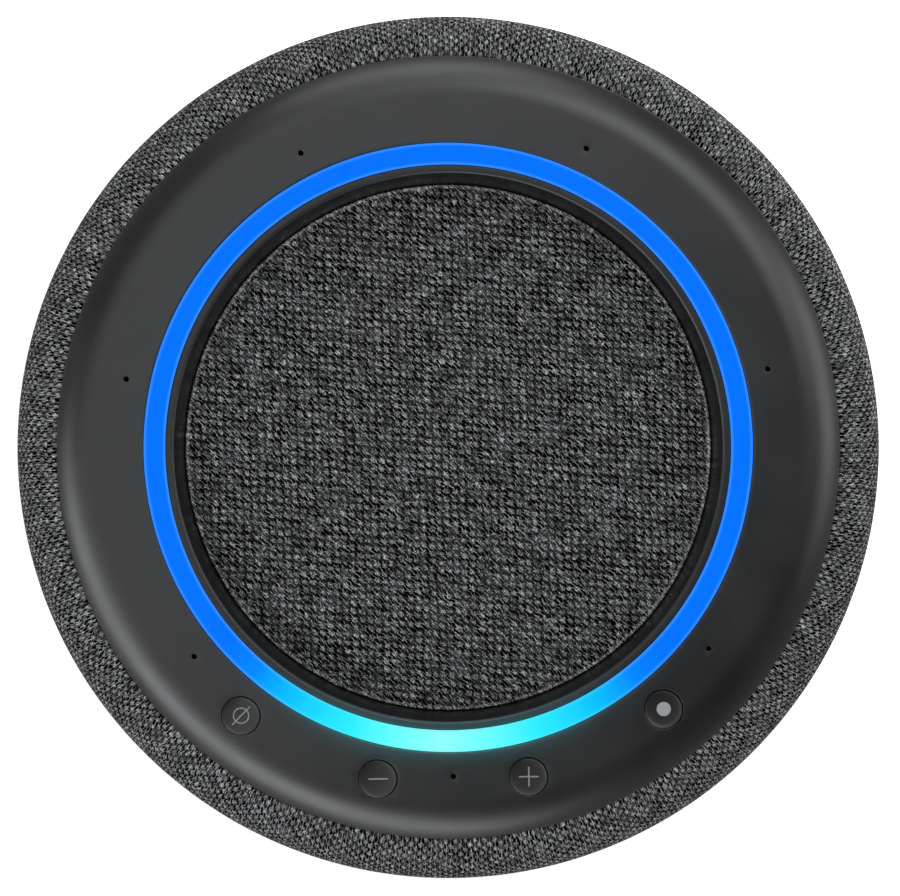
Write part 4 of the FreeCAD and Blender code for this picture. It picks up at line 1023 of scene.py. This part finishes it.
def make_key(key):
    """A key's cap, its icon and the skirt that holds it under the deck."""
    node, body = KEYS[key]
    cx, cy = KEY_CENTRES[key]
    low = box_mm(node)[0].z
    outlines, in_icon = ICONS[key]
    loops = [circle(*KEY_SHIFT, KEY_CAP - KEY_EDGE * share, 96) for share in ROUND_SHARES]
    loops += [circle(*KEY_SHIFT, radius, 72) for radius in DISH_RINGS]

    def on_cap(x, y):
        return off_cap_centre(x, y) < KEY_CAP and not in_icon(x, y)

    def clear_of_icon(x, y):
        return not any(in_icon(x + u, y + v) for u, v in [(0, 0)] + circle(0, 0, 0.15, 8))

    def cap_top(x, y):
        return x + cx, y + cy, key_face(x, y) - round_over(KEY_CAP - off_cap_centre(x, y), KEY_EDGE)

    rings = [circle(0, 0, radius, 48) for radius in np.arange(0.3, 2.7, 0.3)]
    free = [p for ring in rings for p in ring if clear_of_icon(*p)]
    flat, faces = triangulate(loops + outlines, free, on_cap)
    points, closed = slab(flat, faces, cap_top, lambda x, y: (x + cx, y + cy, SKIRT_TOP))
    cap = make_mesh("key_" + key, points, closed, KEY, sharp=40.0)
    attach(cap, body)
    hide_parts(node)

    flat, faces = triangulate(outlines, [], in_icon)
    points, closed = slab(
        flat,
        faces,
        lambda x, y: (x + cx, y + cy, key_face(x, y) - ICON_DEPTH),
        lambda x, y: (x + cx, y + cy, TOP - ICON_BASE),
    )
    paint = PAINT_BRIGHT if key == "action" else PAINT
    icon = make_mesh("icon_" + key, points, closed, paint, sharp=40.0)
    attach(icon, body)

    skirt_profile = rounded([
        (0.0, low, 0), (SKIRT_RADIUS, low, 0.15),
        (SKIRT_RADIUS, SKIRT_TOP, 0.15), (0.0, SKIRT_TOP, 0),
    ])
    skirt = lathe("key_skirt_" + key, skirt_profile, KEY, columns=64)
    skirt.data.transform(Matrix.Translation((cx * MM, cy * MM, 0.0)))
    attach(skirt, body)


for key in KEYS:
    make_key(key)


# ---------------------------------------------------------------- floor, lights and camera

# The floor glows, most strongly behind the object on the right, so that it stays pale.
floor_graph = Graph("studio_floor")
floor_place = floor_graph.object_position()
bright_middle = (0.36, 0.42, 0.0)
from_middle = floor_graph.add(
    "ShaderNodeVectorMath", {0: floor_place, 1: bright_middle}, operation="DISTANCE"
).outputs["Value"]
from_object = floor_graph.add(
    "ShaderNodeVectorMath", {0: floor_place}, operation="LENGTH"
).outputs["Value"]
floor_graph.set(
    Base_Color=floor_graph.mix(floor_graph.noise(floor_place, 3.0, 2.0), grey(0.5), grey(0.54)),
    Roughness=0.9,
    Specular_IOR_Level=0.1,
    Emission_Color=(1.0, 1.0, 1.0, 1.0),
    Emission_Strength=floor_graph.math(
        "ADD",
        floor_graph.remap(from_middle, 0.1, 0.6, 6.0, 0.0, smooth=True),
        floor_graph.remap(from_object, 0.2, 1.2, 0.62, 0.9, smooth=True),
    ),
)
FLOOR_HALF = 30.0
floor_mesh = bpy.data.meshes.new("studio_floor")
floor_corners = [
    (x * FLOOR_HALF, y * FLOOR_HALF, 0) for x, y in ((-1, -1), (1, -1), (1, 1), (-1, 1))
]
floor_mesh.from_pydata(floor_corners, [], [(0, 1, 2, 3)])
floor_mesh.materials.append(floor_graph.material)
floor = bpy.data.objects.new("studio_floor", floor_mesh)
bpy.context.scene.collection.objects.link(floor)

# The surroundings are bright at the horizon and dark overhead.
world = bpy.data.worlds.new("studio")
bpy.context.scene.world = world
world.use_nodes = True
background = world.node_tree.nodes["Background"]
sky = world.node_tree.nodes
links = world.node_tree.links
coordinate = sky.new("ShaderNodeTexCoord")
separate = sky.new("ShaderNodeSeparateXYZ")
links.new(coordinate.outputs["Generated"], separate.inputs[0])
fade = sky.new("ShaderNodeMapRange")
fade.interpolation_type = "SMOOTHSTEP"
for limit, value in (("From Min", 0.12), ("From Max", 1.0), ("To Min", 1.0), ("To Max", 0.02)):
    fade.inputs[limit].default_value = value
links.new(separate.outputs[2], fade.inputs[0])
links.new(fade.outputs[0], background.inputs["Strength"])
background.inputs["Color"].default_value = (1.0, 1.0, 1.0, 1.0)


LIGHT_AIM = Vector((0.0, 0.0, 0.2))


def soft_box(name, azimuth, off_vertical, distance, width, height, radiance):
    """A rectangular soft light over the object, by where it stands as seen from above."""
    turn, lean = math.radians(azimuth), math.radians(off_vertical)
    outward = math.sin(lean)
    away = Vector((math.cos(turn) * outward, math.sin(turn) * outward, math.cos(lean)))
    light = bpy.data.lights.new(name, "AREA")
    light.shape = "RECTANGLE"
    light.size = width
    light.size_y = height
    light.color = (0.965, 0.985, 1.0)
    light.energy = radiance * math.pi * width * height
    holder = bpy.data.objects.new(name, light)
    holder.location = LIGHT_AIM + away * distance
    across = Vector((-math.sin(turn), math.cos(turn), 0.0))
    up = away.cross(across)
    holder.rotation_mode = "QUATERNION"
    holder.rotation_quaternion = Matrix((across, up, away)).transposed().to_quaternion()
    bpy.context.scene.collection.objects.link(holder)


soft_box("box_lower_left", -130.0, 39.0, 0.9, 1.2, 0.26, 6.9)
soft_box("box_upper_right", 50.0, 24.0, 0.9, 0.42, 0.28, 4.2)
soft_box("box_right", 10.0, 44.5, 0.9, 0.45, 0.3, 4.1)
soft_box("box_top", 92.0, 44.5, 0.9, 0.45, 0.3, 4.1)
soft_box("card_overhead", 150.0, 14.9, 0.31, 0.4, 0.2, 1.17)

# The camera looks straight down from CAMERA_DISTANCE metres above the top. The sleeve spans
# SILHOUETTE_SHARE of the picture's width, and the camera stands OFF_CENTRE from the sleeve's axis,
# in shares of that width, turned by ROLL.
CAMERA_DISTANCE = 7.0
SILHOUETTE_SHARE = 0.95733
OFF_CENTRE = (0.002, -0.00072)
ROLL = math.radians(-0.9)
SENSOR = 36.0
camera_data = bpy.data.cameras.new("photo_camera")
camera = bpy.data.objects.new("photo_camera", camera_data)
bpy.context.scene.collection.objects.link(camera)
half_view = SLEEVE_RADIUS * MM / SILHOUETTE_SHARE
camera_data.sensor_fit = "HORIZONTAL"
camera_data.sensor_width = SENSOR
camera_data.lens = SENSOR / 2 * (CAMERA_DISTANCE + SHOULDER * MM) / half_view
camera_data.clip_start = 0.05
camera_data.clip_end = 100.0
offset = Vector((*OFF_CENTRE, 0.0)) * (2 * half_view)
offset.rotate(Matrix.Rotation(ROLL, 3, "Z"))
camera.location = Vector((0.0, 0.0, TOP * MM + CAMERA_DISTANCE)) + offset
camera.rotation_euler = (0.0, 0.0, ROLL)
bpy.context.scene.camera = camera
bpy.context.scene.view_settings.view_transform = "Standard"
